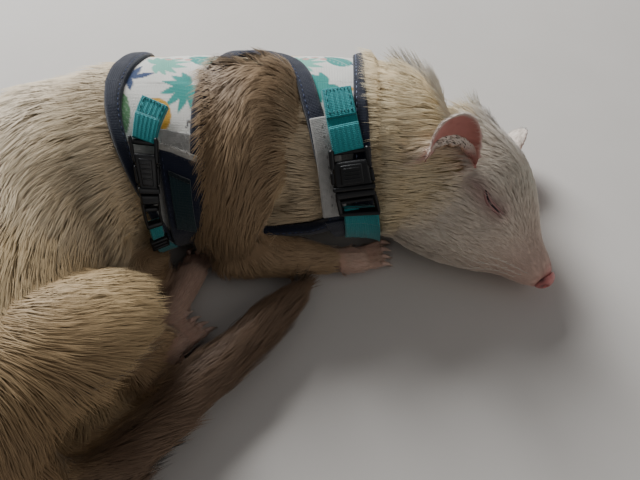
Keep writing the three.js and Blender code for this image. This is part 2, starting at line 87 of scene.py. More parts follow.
# Stations of the trunk: the middle's x, y and z, half the width and half the height
SPINE = [
    (70, 3, 27, 33, 25),
    (54, 0, 29.6, 37, 28.3),
    (43, 1, 30.5, 35.5, 28.6),
    (35, 1, 30, 31.6, 27.6),
    (16, 1.5, 29.7, 33, 27.7),
    (-8, 1.5, 29.7, 34, 27.7),
    (-33, -0.5, 30.2, 34.5, 28.2),
    (-52, -6, 31.6, 36, 30.3),
    (-68, -16, 33.4, 38, 33.6),
    (-78, -32, 34, 38.5, 34.4),
    (-81, -52, 34, 38, 34.4),
    (-80, -75, 33.6, 37, 34),
    (-76, -96, 32, 34, 32.2),
    (-68, -112, 29, 28, 28),
    (-58, -121, 25, 21, 21),
    (-48, -122, 21, 14, 14),
]
# The station that the collar lies at, which distances along the spine are counted by
COLLAR_STATION = 3


def rear_edge(angle):
    return REAR_MIDDLE + REAR_SWING * np.cos(np.radians(2 * (angle - DORSAL - 90)))


# Curves and frames


def catmull(points, t, centripetal):
    """Points of a Catmull-Rom spline at parameters t from 0 to 1, evenly shared between its points."""
    points = np.asarray(points, float)
    last = len(points) - 1
    place = np.clip(np.asarray(t, float), 0, 1) * last
    index = np.minimum(place.astype(int), last - 1)
    w = (place - index)[:, None]
    padded = np.vstack([2 * points[0] - points[1], points, 2 * points[-1] - points[-2]])
    p0, p1, p2, p3 = (padded[index + k] for k in range(4))
    if centripetal:
        d0, d1, d2 = (
            np.sqrt(np.linalg.norm(b - a, axis=1))[:, None]
            for a, b in ((p0, p1), (p1, p2), (p2, p3))
        )
        m1 = ((p1 - p0) / d0 - (p2 - p0) / (d0 + d1) + (p2 - p1) / d1) * d1
        m2 = ((p2 - p1) / d1 - (p3 - p1) / (d1 + d2) + (p3 - p2) / d2) * d1
    else:
        m1 = (p2 - p0) / 2
        m2 = (p3 - p1) / 2
    a = 2 * p1 - 2 * p2 + m1 + m2
    b = -3 * p1 + 3 * p2 - 2 * m1 - m2
    return ((a * w + b) * w + m1) * w + p1


def unit(v):
    return v / np.maximum(np.linalg.norm(v, axis=-1, keepdims=True), 1e-12)


def lengths_along(line):
    """The distance of each point of a line from its start."""
    return np.concatenate([[0], np.cumsum(np.linalg.norm(np.diff(line, axis=0), axis=1))])


def bell(distance, reach, power=2):
    return np.exp(-((distance / reach) ** power))


def towards(colour, other, share):
    return colour + (other - colour) * share


class Trunk:
    """The trunk's surface under the vest, by distance along the spine and angle from the top."""

    def __init__(self):
        stations = np.array(SPINE, float)
        self.path, self.sizes = stations[:, :3], stations[:, 3:]
        self.t = np.linspace(0, 1, 1201)
        self.run = lengths_along(catmull(self.path, self.t, True))
        self.before = np.interp(COLLAR_STATION / (len(SPINE) - 1), self.t, self.run) - COLLAR

    def point(self, s, angle, lift=0.0):
        s, angle, lift = np.broadcast_arrays(*(np.asarray(v, float) for v in (s, angle, lift)))
        t = np.interp(s.ravel() + self.before, self.run, self.t)
        before, centre, after = (catmull(self.path, t + step, True) for step in (-1e-3, 0, 1e-3))
        along = unit(after - before)
        size = catmull(self.sizes, t, False)
        up = np.array([0, 0, 1.0])
        top = unit(up - along * (along @ up)[:, None])
        side = np.cross(top, along)
        turn = np.radians(angle.ravel())[:, None]
        size = size + lift.ravel()[:, None]
        at = centre + side * size[:, :1] * np.sin(turn) + top * size[:, 1:] * np.cos(turn)
        return at.reshape(*s.shape, 3) * MM

    def frame(self, s, angle, lift=0.0):
        """Where it is, the direction along, the direction round and the direction out."""
        s, angle = np.asarray(s, float), np.asarray(angle, float)
        along = unit(self.point(s + 0.5, angle, lift) - self.point(s - 0.5, angle, lift))
        turned = unit(self.point(s, angle + 1, lift) - self.point(s, angle - 1, lift))
        return self.point(s, angle, lift), along, turned, unit(np.cross(along, turned))


trunk = Trunk()


def head_matrix():
    """The head's own axes, x forward, y left and z to the crown, and the nose tip they start at."""
    forward = Matrix.Rotation(math.radians(HEAD["heading"]), 3, "Z") @ (
        Matrix.Rotation(math.radians(HEAD["drop"]), 3, "Y") @ Vector((1, 0, 0))
    )
    left = Vector((0, 0, 1)).cross(forward).normalized()
    crown = forward.cross(left)
    roll = Matrix.Rotation(-math.radians(HEAD["roll"]), 3, forward)
    axes = np.array([forward, roll @ left, roll @ crown])
    return axes, np.array(NOSE_TIP, float)


HEAD_AXES, HEAD_TIP = head_matrix()


def in_head(points):
    """Points in metres, in the head's own frame and in millimetres."""
    return (np.asarray(points) / MM - HEAD_TIP) @ HEAD_AXES.T


def from_head(points):
    return (np.asarray(points, float) @ HEAD_AXES + HEAD_TIP) * MM


# Meshes


def new_mesh(name, verts, faces, colours=None, smooth=True):
    mesh = bpy.data.meshes.new(name)
    mesh.from_pydata(np.asarray(verts).tolist(), [], [list(map(int, f)) for f in faces])
    if colours is not None:
        paint(mesh, colours)
    if smooth:
        mesh.shade_smooth()
    return placed(name, mesh)


def fast_mesh(name, verts, tris, colours):
    """The same for large arrays of triangles."""
    mesh = bpy.data.meshes.new(name)
    mesh.vertices.add(len(verts))
    mesh.vertices.foreach_set("co", np.asarray(verts, np.float32).ravel())
    mesh.loops.add(len(tris) * 3)
    mesh.loops.foreach_set("vertex_index", np.asarray(tris, np.int32).ravel())
    mesh.polygons.add(len(tris))
    mesh.polygons.foreach_set("loop_start", np.arange(0, len(tris) * 3, 3, dtype=np.int32))
    mesh.update(calc_edges=True)
    paint(mesh, colours)
    return placed(name, mesh)


def paint(mesh, colours):
    """Each vertex's colour, as linear light."""
    layer = mesh.color_attributes.new("coat", "FLOAT_COLOR", "POINT")
    rgba = np.ones((len(mesh.vertices), 4), np.float32)
    rgba[:, :3] = colours
    layer.data.foreach_set("color", rgba.ravel())


def read(items, key, columns, kind=np.float32):
    """A property of all the items, as a row for each."""
    flat = np.empty(len(items) * columns, kind)
    items.foreach_get(key, flat)
    return flat.reshape(-1, columns)


def points_of(mesh):
    return read(mesh.vertices, "co", 3).astype(float)


def set_points(mesh, where):
    mesh.vertices.foreach_set("co", where.astype(np.float32).ravel())


def edges_of(mesh):
    return read(mesh.edges, "vertices", 2, np.int32)


def applied(piece):
    """The piece's mesh with its modifiers applied."""
    graph = bpy.context.evaluated_depsgraph_get()
    return bpy.data.meshes.new_from_object(piece.evaluated_get(graph))


def remeshed(piece, voxel):
    """The piece's mesh built again as one closed surface, from voxels of the size."""
    remesh = piece.modifiers.new("remesh", "REMESH")
    remesh.mode = "VOXEL"
    remesh.voxel_size = voxel * MM
    return applied(piece)


def srgb(text):
    """A colour written as rrggbb, as linear light."""
    c = np.array([int(text[i : i + 2], 16) for i in (0, 2, 4)]) / 255
    return np.where(c <= 0.04045, c / 12.92, ((c + 0.055) / 1.055) ** 2.4)


# Large odd numbers that mix a cell's place into its random value
HASH = (73856093, 19349663, 83492791, 2654435, 1274126177)


def smooth_noise(points, scale, seed=0):
    """Three smooth values between about -1 and 1 at each point. The scale is in millimetres."""
    p = np.asarray(points) / (scale * MM) + seed * 17.3
    cell = np.floor(p).astype(np.int64)
    f = p - cell
    f = f * f * (3 - 2 * f)
    total = np.zeros((len(p), 3))
    for corner in np.ndindex(2, 2, 2):
        x, y, z = ((cell + corner) * HASH[:3]).T
        h = x ^ y ^ z ^ (seed * HASH[3])
        h = (h ^ (h >> 13)) * HASH[4]
        values = np.stack([(h >> shift) & 1023 for shift in (3, 13, 23)], 1) / 511.5 - 1
        total += values * np.abs(1 - np.array(corner) - f).prod(1)[:, None]
    return total


def ripple(points, scale, seed):
    """One smooth value between about -1 and 1 at each point."""
    return smooth_noise(points, scale, seed)[:, 0]


# Materials


class Nodes:
    """A material with a Principled shader, and short calls to add nodes to it."""

    def __init__(self, name, roughness=0.6, **sockets):
        self.material = bpy.data.materials.new(name)
        self.material.use_nodes = True
        self.tree = self.material.node_tree
        self.shader = self.tree.nodes["Principled BSDF"]
        self.shader.inputs["Roughness"].default_value = roughness
        for socket, value in sockets.items():
            self.shader.inputs[socket.replace("_", " ")].default_value = value

    def add(self, kind, links=None, **settings):
        node = self.tree.nodes.new("ShaderNode" + kind)
        for key, value in settings.items():
            if key in node.inputs:
                node.inputs[key].default_value = value
            else:
                setattr(node, key, value)
        for socket, source in (links or {}).items():
            self.tree.links.new(source, node.inputs[socket])
        return node

    def link(self, source, socket):
        self.tree.links.new(source, self.shader.inputs[socket])

    def colour_attribute(self, name="coat"):
        return self.add("Attribute", attribute_name=name).outputs["Color"]

    def place(self):
        return self.add("TexCoord").outputs["Object"]

    def varied(self, colour, scale, strength, detail=3.0):
        """The colour, lighter and darker in patches, with their number to a metre as the scale."""
        tone = self.ranged(self.noise(scale, detail), 1 - strength, 1 + strength)
        return self.add("VectorMath", {0: colour, 1: tone}, operation="MULTIPLY").outputs[0]

    def noise(self, scale, detail):
        return self.add("TexNoise", {"Vector": self.place()}, Scale=scale, Detail=detail).outputs["Fac"]

    def ranged(self, value, low, high):
        limits = {"To Min": low, "To Max": high}
        return self.add("MapRange", {"Value": value}, **limits).outputs["Result"]

    def bump(self, height, distance, strength=1.0):
        bump = self.add("Bump", {"Height": height}, Strength=strength, Distance=distance)
        self.link(bump.outputs["Normal"], "Normal")


def fur_material():
    m = Nodes("fur", 0.55, Sheen_Weight=0.25, Sheen_Roughness=0.4, Specular_IOR_Level=0.35)
    m.link(m.varied(m.colour_attribute(), 900, 0.08), "Base Color")
    return m.material


def skin_material():
    m = Nodes("skin", 0.62, Sheen_Weight=0.2, Specular_IOR_Level=0.35)
    m.link(m.varied(m.colour_attribute(), 500, 0.1, 6.0), "Base Color")
    m.bump(m.noise(5200, 2.0), 0.00008, 0.5)
    return m.material


def bare_material(name, roughness, grain, depth, wet=0.0):
    """Leather or horn, with its grains to a metre and the depth of the grain in metres."""
    m = Nodes(name, roughness, Coat_Weight=wet, Coat_Roughness=0.25)
    m.link(m.varied(m.colour_attribute(), 700, 0.12, 4.0), "Base Color")
    pebbles = m.add("TexVoronoi", {"Vector": m.place()}, Scale=grain)
    m.bump(pebbles.outputs["Distance"], depth, 0.7)
    return m.material


def cloth_material(name, roughness, thread=2400):
    """Woven cloth in the vertex colours, with its threads along the attribute weave, in millimetres."""
    m = Nodes(name, roughness, Sheen_Weight=0.3, Specular_IOR_Level=0.25)
    m.link(m.varied(m.colour_attribute(), 160, 0.07), "Base Color")
    weave = m.add("Attribute", attribute_name="weave").outputs["Vector"]
    heights = []
    for direction in "XY":
        wave = m.add("TexWave", {"Vector": weave}, Scale=0.55, bands_direction=direction)
        heights.append(wave.outputs["Fac"])
    both = m.add("Math", {0: heights[0], 1: heights[1]}, operation="MULTIPLY")
    height = m.add("Math", {0: both.outputs[0], 1: m.noise(thread, 3.0)}, operation="ADD")
    m.bump(height.outputs[0], 0.00025, 0.6)
    return m.material


def plastic_material():
    m = Nodes("moulded_plastic", 0.38)
    m.link(m.varied(m.colour_attribute(), 400, 0.15), "Base Color")
    grain = m.noise(4200, 2.0)
    m.link(m.ranged(grain, 0.3, 0.48), "Roughness")
    m.bump(grain, 0.00005, 0.5)
    return m.material


FUR = fur_material()
SKIN = skin_material()


def finish_piece(piece, material, slot, *replaced):
    piece.data.materials.clear()
    piece.data.materials.append(material)
    if replaced:
        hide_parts(*replaced)
    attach(piece, "root")


# The coat's markings, by what it grows on: root colour, tip colour
COATS = {
    "face": ("f3dfc6", "fdf1df"),
    "neck": ("dfc08a", "f7e6c2"),
    "body": ("d6bb92", "ecd9b8"),
    "rump": ("c4a679", "e4cca2"),
    "haunch": ("b6976c", "dcc194"),
    "arm": ("94795a", "b59977"),
    "forearm": ("9a7f60", "bc9f7c"),
    "paw": ("d0a793", "e2c4b0"),
    "tail": ("6b5441", "89705a"),
    "ear": ("dc9d92", "f0e0d2"),
}
# The darker brown of the lower haunch and the flank, partly the coat's own colour and partly painted shade
# where less light reaches low down and towards the tail: where it begins and ends along y, and how high it
# reaches from the floor
HAUNCH_BROWN_AND_SHADE = {"roots": "6f563c", "tips": "967650", "from": -76, "to": -112, "height": 26}
# For each node of flesh: coat, depth from the coat's tips to the skin, hair length, width at the root,
# tufts for each square millimetre, and how far it stands up, in degrees
HAIR = {
    "head": ("face", 1.6, 4.6, 0.26, 4.94, 16),
    "ear_right": ("ear", 0.1, 2.2, 0.14, 3.04, 19),
    "ear_left": ("ear", 0.1, 2.2, 0.14, 3.04, 19),
    "neck": ("neck", 5.4, 12.5, 0.37, 1.8, 24),
    "chest": ("body", 4.5, 11, 0.37, 1.52, 20),
    "abdomen": ("body", 5.4, 14, 0.41, 1.61, 22),
    "rump": ("rump", 5.4, 15, 0.42, 1.52, 22),
    "hindleg_right_thigh": ("haunch", 4.6, 13.5, 0.4, 1.61, 20),
    "hindleg_right_shank": ("forearm", 1.8, 6.5, 0.29, 2.66, 17),
    "hindfoot_right": ("paw", 0.8, 3.6, 0.2, 4.2, 17),
    "hindleg_left_shank": ("forearm", 1.8, 6.5, 0.29, 2.28, 17),
    "hindfoot_left": ("paw", 0.8, 3.6, 0.2, 4.0, 17),
    "foreleg_right_upper": ("arm", 3.6, 10.5, 0.35, 2.09, 20),
    "foreleg_right_lower": ("forearm", 2.2, 7, 0.3, 2.85, 17),
    "forepaw_right": ("paw", 0.8, 3.4, 0.2, 4.5, 17),
    "foreleg_left_upper": ("arm", 3, 9, 0.35, 1.71, 19),
    "foreleg_left_lower": ("forearm", 2.2, 7, 0.3, 2.09, 17),
    "forepaw_left": ("paw", 0.8, 3.4, 0.2, 3.8, 17),
    "tail_root": ("tail", 5, 14, 0.37, 2.09, 19),
    "tail_middle": ("tail", 4.4, 13, 0.36, 2.47, 19),
    "tail_tip": ("tail", 3.6, 11.5, 0.33, 2.85, 17),
}
FLESH = list(HAIR)


def gathered(shapes):
    """One list of verts and one of faces from many, and the number of each face's shape."""
    verts, faces, owner = [], [], []
    for number, (some_verts, some_faces) in enumerate(shapes):
        start = sum(map(len, verts))
        verts.append(some_verts)
        faces += [[start + v for v in f] for f in some_faces]
        owner += [number] * len(some_faces)
    return np.vstack(verts), faces, np.array(owner)


def node_shape(name):
    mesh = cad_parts[name].data
    return points_of(mesh), [p.vertices for p in mesh.polygons]


HARNESS = [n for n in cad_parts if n.startswith(("vest", "binding", "strap", "buckle"))]
harness_verts, harness_faces, _ = gathered(map(node_shape, HARNESS))
harness = BVHTree.FromPolygons(harness_verts.tolist(), harness_faces)

# The skin: one closed surface from all the nodes of flesh, drawn in by the coat's depth

SKIN_VOXEL = 0.85
# Folds of skin, between the haunch and the tail's root and along the belly: node, middle, half sizes
FOLDS = [
    ("rump", (-53, -97, 12.5), (17, 17, 11.5)),
    ("hindleg_left_shank", (-47, -41, 12.5), (13, 19, 11.5)),
]


def round_fold(middle, size):
    ball = bmesh.new()
    bmesh.ops.create_icosphere(ball, subdivisions=3, radius=1)
    verts = np.array([v.co[:] for v in ball.verts]) * size + middle
    faces = [[v.index for v in f.verts] for f in ball.faces]
    ball.free()
    return verts * MM, faces


def relaxed(values, edges, rounds, share=0.5, weight=None):
    """Values at the vertices, each drawn towards the mean of its neighbours, some number of times."""
    values = np.array(values, float)
    flat = values.ndim == 1
    if flat:
        values = values[:, None]
    count = np.bincount(edges.ravel(), minlength=len(values))[:, None]
    pull = share if weight is None else share * weight[:, None]
    for _ in range(rounds):
        total = np.zeros_like(values)
        for k in range(values.shape[1]):
            total[:, k] = np.bincount(edges[:, 0], values[edges[:, 1], k], len(values))
            total[:, k] += np.bincount(edges[:, 1], values[edges[:, 0], k], len(values))
        values += pull * (total / np.maximum(count, 1) - values)
    return values[:, 0] if flat else values


def make_skin():
    """The skin's mesh, its points, and the number of the node of flesh that each point lies on."""
    shapes = [round_fold(middle, size) for _, middle, size in FOLDS] + [node_shape(n) for n in FLESH]
    numbers = [FLESH.index(name) for name, *_ in FOLDS] + list(range(len(FLESH)))
    verts, faces, owner = gathered(shapes)
    rough = new_mesh("skin_rough", verts, faces, smooth=False)
    mesh = remeshed(rough, SKIN_VOXEL)
    bpy.data.objects.remove(rough)
    keep_largest(mesh)
    tree = BVHTree.FromPolygons(verts.tolist(), faces)
    points = points_of(mesh)
    owners = owner[[tree.find_nearest(Vector(p))[2] for p in points]]
    return mesh, points, np.array(numbers)[owners]


def keep_largest(mesh):
    """Drops the inner scraps that the gaps between the nodes leave."""
    edges = edges_of(mesh)
    label = np.arange(len(mesh.vertices))
    while True:
        low = np.minimum(label[edges[:, 0]], label[edges[:, 1]])
        new = label.copy()
        np.minimum.at(new, edges[:, 0], low)
        np.minimum.at(new, edges[:, 1], low)
        new = new[new]
        if (new == label).all():
            break
        label = new
    biggest = np.bincount(label).argmax()
    scrap = bmesh.new()
    scrap.from_mesh(mesh)
    scrap.verts.ensure_lookup_table()
    gone = [scrap.verts[i] for i in np.nonzero(label != biggest)[0]]
    bmesh.ops.delete(scrap, geom=gone, context="VERTS")
    scrap.to_mesh(mesh)
    scrap.free()


# The right eye's closed line, as x and the angle from the crown
EYE = [(-24.6, 58), (-27.8, 61), (-31.2, 62), (-35, 59)]
# Stations of the head's coat in its own frame: x, top, bottom and half the width
SKULL = [
    (1.2, 2.2, -3.4, 3.4),
    (-1.5, 4.4, -6, 6.4),
    (-6, 6.2, -9, 9),
    (-11, 7.8, -12, 11),
    (-16, 10.6, -17, 14.8),
    (-22, 14.6, -22, 18.6),
    (-28, 18.2, -26.6, 22),
    (-36, 21.4, -31, 25),
    (-44, 22.6, -34, 26.6),
    (-52, 22.6, -36, 27.2),
    (-60, 23, -36.4, 28.4),
]


def on_skull(x, angle, lift=0.0):
    """The point of the head's coat at x, angle degrees from the crown, positive to the right."""
    stations = np.array(SKULL)[::-1]
    top, bottom, width = (np.interp(x, stations[:, 0], stations[:, k]) for k in (1, 2, 3))
    a = np.radians(angle)
    sin, cos = np.sin(a), np.cos(a)
    square = 1 + np.where(cos < 0, 0.17, 0.05) * np.sin(2 * a) ** 2
    side = -(width + lift) * sin * square
    high = (top + bottom) / 2 + ((top - bottom) / 2 + lift) * cos * square
    return np.stack([np.broadcast_to(x, side.shape), side, high], -1)


mesh, points, node = make_skin()
edges = edges_of(mesh)
# How often colours are drawn towards their neighbours', so that they blend between nodes
COLOUR_ROUNDS = 30


def lies_on(*names):
    """Whether each point of the skin lies on one of the nodes."""
    return np.isin(node, [FLESH.index(n) for n in names])


FINE_NODES = [n for n in FLESH if "paw" in n or "foot" in n or "ear" in n or n == "head"]
points = relaxed(points, edges, 10, 0.5, np.where(lies_on(*FINE_NODES), 0.25, 1.0))
traits = relaxed(np.array([HAIR[name][1:] for name in FLESH], float)[node], edges, 14)
depth, length, width, density, lift = traits.T
roots, tips = (
    relaxed(np.array([srgb(COATS[HAIR[n][0]][end]) for n in FLESH])[node], edges, COLOUR_ROUNDS)
    for end in (0, 1)
)
set_points(mesh, points)
mesh.update()
normals = unit(relaxed(read(mesh.vertex_normals, "vector", 3), edges, 3))

# The haunch and rump darken towards the tail and the floor, partly a browner coat and partly painted shade
low_side = np.clip((HAUNCH_BROWN_AND_SHADE["from"] - points[:, 1] / MM) / (HAUNCH_BROWN_AND_SHADE["from"] - HAUNCH_BROWN_AND_SHADE["to"]), 0, 1)
# Painted shade: the nearer the floor, the darker
near_floor_shade = np.clip(1.1 - points[:, 2] / MM / HAUNCH_BROWN_AND_SHADE["height"], 0, 1) * (points[:, 1] < -15 * MM)
browned_and_shaded_nodes = lies_on("rump", "hindleg_right_thigh", "hindleg_right_shank", "hindleg_left_shank")
brown_and_shade = relaxed(np.maximum(low_side, near_floor_shade) * browned_and_shaded_nodes, edges, COLOUR_ROUNDS)[:, None] * 0.85
roots = towards(roots, srgb(HAUNCH_BROWN_AND_SHADE["roots"]), brown_and_shade)
tips = towards(tips, srgb(HAUNCH_BROWN_AND_SHADE["tips"]), brown_and_shade)

# The face: hair shortens, thins and stands closer from the back of the head to the nose
FACE_LONG = 55
local = in_head(points)
on_face = lies_on("head")
back = np.clip(-local[:, 0] / FACE_LONG, 0, 1)
length = np.where(on_face, 1.6 + 8.4 * back**1.3, length)
depth = np.where(on_face, 0.35 + 3.2 * back**1.5, depth)
width = np.where(on_face, 0.17 + 0.15 * back, width)
density = np.where(on_face, 6.2 - 3.6 * back, density)
length, depth, width, density = (relaxed(v, edges, 4) for v in (length, depth, width, density))

# Under the harness the coat is pressed to this depth
PRESSED = 1.4
# How far the harness may lie over the coat's tips, and how near to them, to press it
OVER, NEAR = 6 * MM, 3.5 * MM
covered = np.array([
    harness.ray_cast(Vector(p + n * 2 * MM), Vector(n), OVER)[0] is not None
    or harness.find_nearest(Vector(p), NEAR)[0] is not None
    for p, n in zip(points, normals)
])
depth = towards(depth, PRESSED, relaxed(covered.astype(float), edges, 4))
points = points - normals * (depth * MM)[:, None]
points[:, 2] = np.maximum(points[:, 2], 0.4 * MM)


def distance_to(line, where):
    """The distance in millimetres from each point to a line of points, all in the head's frame."""
    best = np.full(len(where), 1e9)
    for a, b in zip(line[:-1], line[1:]):
        ab = b - a
        t = np.clip(((where - a) @ ab) / (ab @ ab), 0, 1)
        best = np.minimum(best, np.linalg.norm(where - a - t[:, None] * ab, axis=1))
    return best


def eye_line(side, lift):
    """The line of a closed eye, this far out of the head's coat: side 1 is the right, -1 the left."""
    bent = catmull(EYE, np.linspace(0, 1, 13), False)
    return np.array([on_skull(x, side * a, lift) for x, a in bent])


# Colours of bare or thinly covered skin
MAUVE = srgb("a87f7c")
PINK = srgb("e3b3a6")
NOSTRIL = srgb("cd7c76")
EAR_RIM = srgb("f4e6d8")
EAR_PINK = srgb("d98f84")
# A dark red-brown for painted shade in the ear's folds and hollow
EAR_FOLD_SHADE = srgb("8a4741")
# The left ear in the head's frame: where it grows, the way it stands and the way it opens. It is
# this high to where it rounds off, with the radii of its round end across and up.
EAR_FOOT, EAR_STANDS, EAR_OPENS = (-46, 26, 4), (-0.3, 0.62, 0.72), (0.72, 0.62, 0.1)
EAR_HIGH, EAR_RADII = 11, (9.8, 14)
# The hair round an ear's foot ends this high
EAR_BASE = 9
# The folds in an ear: both ends, each as height and place across, and the reach
EAR_FOLDS = [((3, -5), (9, -2.6), 1.5), ((2, -0.5), (11, 0.8), 1.1), ((4, 4.2), (10, 3.4), 1.0)]
# How far pink shows from the nose tip back along the muzzle, and bare skin round the nose
MUZZLE_REACH, NOSE_REACH = 16, 5.2

local = in_head(points)
pressed = np.zeros(len(points))
for side in (1, -1):
    gap = distance_to(eye_line(side, -0.8), local)
    pressed += bell(gap, 0.9) - 0.5 * bell(gap - 2.2, 1.2)
    roots, tips = (towards(c, MAUVE, (0.8 * bell(gap, 3.2))[:, None]) for c in (roots, tips))
    density *= np.clip(gap / 2.6 - 0.35, 0, 1) ** 0.5
for side, name in ((-1, "ear_right"), (1, "ear_left")):
    mirror = np.array((1, side, 1))
    stands = unit(EAR_STANDS * mirror)
    opens = EAR_OPENS * mirror
    opens = unit(opens - stands * (opens @ stands))
    spot = local - EAR_FOOT * mirror
    high, wide, face_on = spot @ stands, spot @ np.cross(stands, opens), normals @ HEAD_AXES.T @ opens
    this_ear = lies_on(name)
    round_end = np.hypot(wide / EAR_RADII[0], np.maximum(high - EAR_HIGH, 0) / EAR_RADII[1])
    rim = np.clip((round_end - 0.76) / 0.2, 0, 1)
    inner = np.where(this_ear, np.clip((face_on + 0.45) * 2.5, 0, 1), 0) * (1 - rim)
    flat = np.stack([high, wide], 1)
    folds = np.max([bell(distance_to(np.array(ends), flat), reach) for *ends, reach in EAR_FOLDS], 0)
    # Painted shade: the inner ear darkens in its folds, and a little all over its hollow
    shade = towards(EAR_PINK, EAR_FOLD_SHADE, (0.85 * folds + 0.12)[:, None])
    # Below that height the ear's foot goes from its pale rim to pink darkened to three quarters, as
    # painted shade where the ear curls into the head
    base = np.clip((EAR_BASE - high) / 5, 0, 1)[:, None] * 0.9
    for coat_colour in (roots, tips):
        coat_colour[this_ear] = towards(EAR_RIM, EAR_PINK * 0.75, base)[this_ear]
        coat_colour += (shade - coat_colour) * inner[:, None]
    pressed += inner * (0.35 + 0.4 * folds)
    density = density * (1 - 0.85 * inner) * (1 - 0.8 * this_ear * np.clip((EAR_BASE - high) / 3, 0, 1))
muzzle = np.where(on_face, bell(np.clip(-local[:, 0], 0, 99), MUZZLE_REACH), 0)[:, None]
by_nose = bell(np.linalg.norm(local, axis=1), NOSE_REACH, 4)
roots, tips = (
    towards(towards(c, PINK, muzzle * 0.6), NOSTRIL, by_nose[:, None]) for c in (roots, tips)
)
density = density * (1 - by_nose)
points = points - normals * (pressed * MM)[:, None]

set_points(mesh, points)
mesh.update()
blotch = (ripple(points, 24, 3) * 0.07 + ripple(points, 9, 5) * 0.05)[:, None]
roots, tips = (np.clip(c * (1 + blotch), 0, 1) for c in (roots, tips))
paint(mesh, roots * 0.95)
mesh.shade_smooth()
finish_piece(placed("skin", mesh), SKIN, "cream", *FLESH)

# The lie of the coat, as lines that the hair follows, with a reach for each
HEAD_LINE = [(2, 0, 0), (-20, 0, -2), (-45, 0, -4), (-70, 0, -4)]
LIES = {
    "back": ([s[:3] for s in SPINE], 34),
    "head": (from_head(HEAD_LINE) / MM, 24),
    "right_arm": ([(-2, 12, 53), (-4, -12, 50), (-9, -26, 38), (-13, -33, 18)], 14),
    "right_forearm": ([(-20, -33, 14), (0, -35, 10), (25, -35, 6), (44, -30, 3)], 9),
    "left_arm": ([(12, 22, 26), (4, 25, 21), (-8, 27, 10)], 11),
    "left_forearm": ([(-10, 28, 8), (20, 32, 7), (40, 30, 6), (61, 26, 3)], 7),
    "right_thigh": ([(-74, -94, 46), (-58, -85, 45), (-42, -74, 34), (-34, -68, 28)], 19),
    "right_shank": ([(-34, -68, 26), (-38, -78, 20), (-43, -89, 14)], 9),
    "right_foot": ([(-43, -90, 12), (-34, -78, 10), (-23, -62, 7)], 6),
    "left_shank": ([(-58, -60, 14), (-47, -64, 11), (-36, -67, 9)], 9),
    "left_foot": ([(-34, -66, 8), (-28, -44, 6), (-25, -30, 4)], 6),
    "tail": ([(-55, -123, 20), (-44, -116, 15), (-34, -103, 12), (-21, -88, 11), (-7, -74, 11),
              (4, -61, 9), (15, -45, 6)], 11),
}


def tree_of(places, numbers):
    tree = KDTree(len(places))
    for place, number in zip(places, numbers):
        tree.insert(place, number)
    tree.balance()
    return tree


def flattened(way, normal):
    """The direction along the skin that is nearest to the way."""
    return unit(way - normal * (way * normal).sum(1, keepdims=True))


def lie_of(where, normal):
    total = np.zeros_like(where)
    for line, reach in LIES.values():
        path = catmull(line, np.linspace(0, 1, 60), True) * MM
        way = unit(np.gradient(path, axis=0))
        tree = tree_of(path, range(len(path)))
        index, gap = np.array([tree.find(p)[1:] for p in where]).T
        beyond = np.clip(gap / MM - reach, -6, 60)
        total += way[index.astype(int)] * np.exp(-beyond / 3.0)[:, None]
    return flattened(total, normal)


lies = flattened(relaxed(lie_of(points, normals), edges, 12), normals)

# An unwrap of the skin's own shape, for the patches that the coat is baked on

UNWRAP_TRIANGLES = 8000


def skin_unwrap():
    """A plainer copy of the skin as a search tree, its triangles' corners and their unwrapped places."""
    small = placed("unwrap", mesh.copy())
    thin = small.modifiers.new("thin", "DECIMATE")
    thin.ratio = UNWRAP_TRIANGLES / (len(mesh.polygons) * 2)
    plain = applied(small)
    bpy.data.objects.remove(small)
    flat = placed("unwrap", plain)
    bpy.context.view_layer.objects.active = flat
    flat.select_set(True)
    bpy.ops.object.mode_set(mode="EDIT")
    bpy.ops.mesh.select_all(action="SELECT")
    bpy.ops.uv.smart_project(angle_limit=math.radians(66), island_margin=0.004)
    bpy.ops.object.mode_set(mode="OBJECT")
    plain.calc_loop_triangles()
    verts = points_of(plain)
    tris = np.array([t.vertices[:] for t in plain.loop_triangles])
    loops = np.array([t.loops[:] for t in plain.loop_triangles])
    uv = read(plain.uv_layers.active.data, "uv", 2)[loops]
    bpy.data.objects.remove(flat)
    return BVHTree.FromPolygons(verts.tolist(), tris.tolist()), verts[tris], uv


def unwrap_at(where, unwrap):
    """The unwrapped place of the spot on the skin that is nearest to each point."""
    tree, corners, uv = unwrap
    found = [tree.find_nearest(Vector(p)) for p in where]
    index = np.array([f[2] for f in found])
    spot = np.array([f[0] for f in found])
    a, b, c = corners[index].transpose(1, 0, 2)
    area = np.cross(b - a, c - a)
    size = np.maximum((area**2).sum(1), 1e-30)
    w2 = (np.cross(b - a, spot - a) * area).sum(1) / size
    w1 = (np.cross(spot - a, c - a) * area).sum(1) / size
    weights = np.stack([1 - w1 - w2, w1, w2], 1)
    return (uv[index] * weights[:, :, None]).sum(1)


# The coat: solid tapered tufts on the skin

TUFT_SHARE = 1.0
# How far a tuft's own roundness shows in its shading, against the form under it
SOFTNESS = 0.38
# Tufts lean to one leader for each this many
CLUMP = 7
# How far over the skin the harness can lie and still press the hair under it, in metres
UNDER = 12 * MM
# The box on the floor that the harness lies in: its least x, greatest x and least y, in metres
HARNESS_BOX = (-0.075, 0.06, -0.05)
# How much steeper a tuft is tried, as a share of the way up, to pass over the trim
RAISES = (0.35, 0.7, 1.2)
# Steps along a tuft, the share of its full width at the two rings, and how its colour starts
STEPS, WIDTHS, SHADES = (0.0, 0.5, 1.0), (0.85, 0.72), (0.96, 1.0)
# The side of a tuft's patch in the baked picture, and the most triangles in one piece of the coat
PATCH, MOST_TRIANGLES = 0.003, 190000


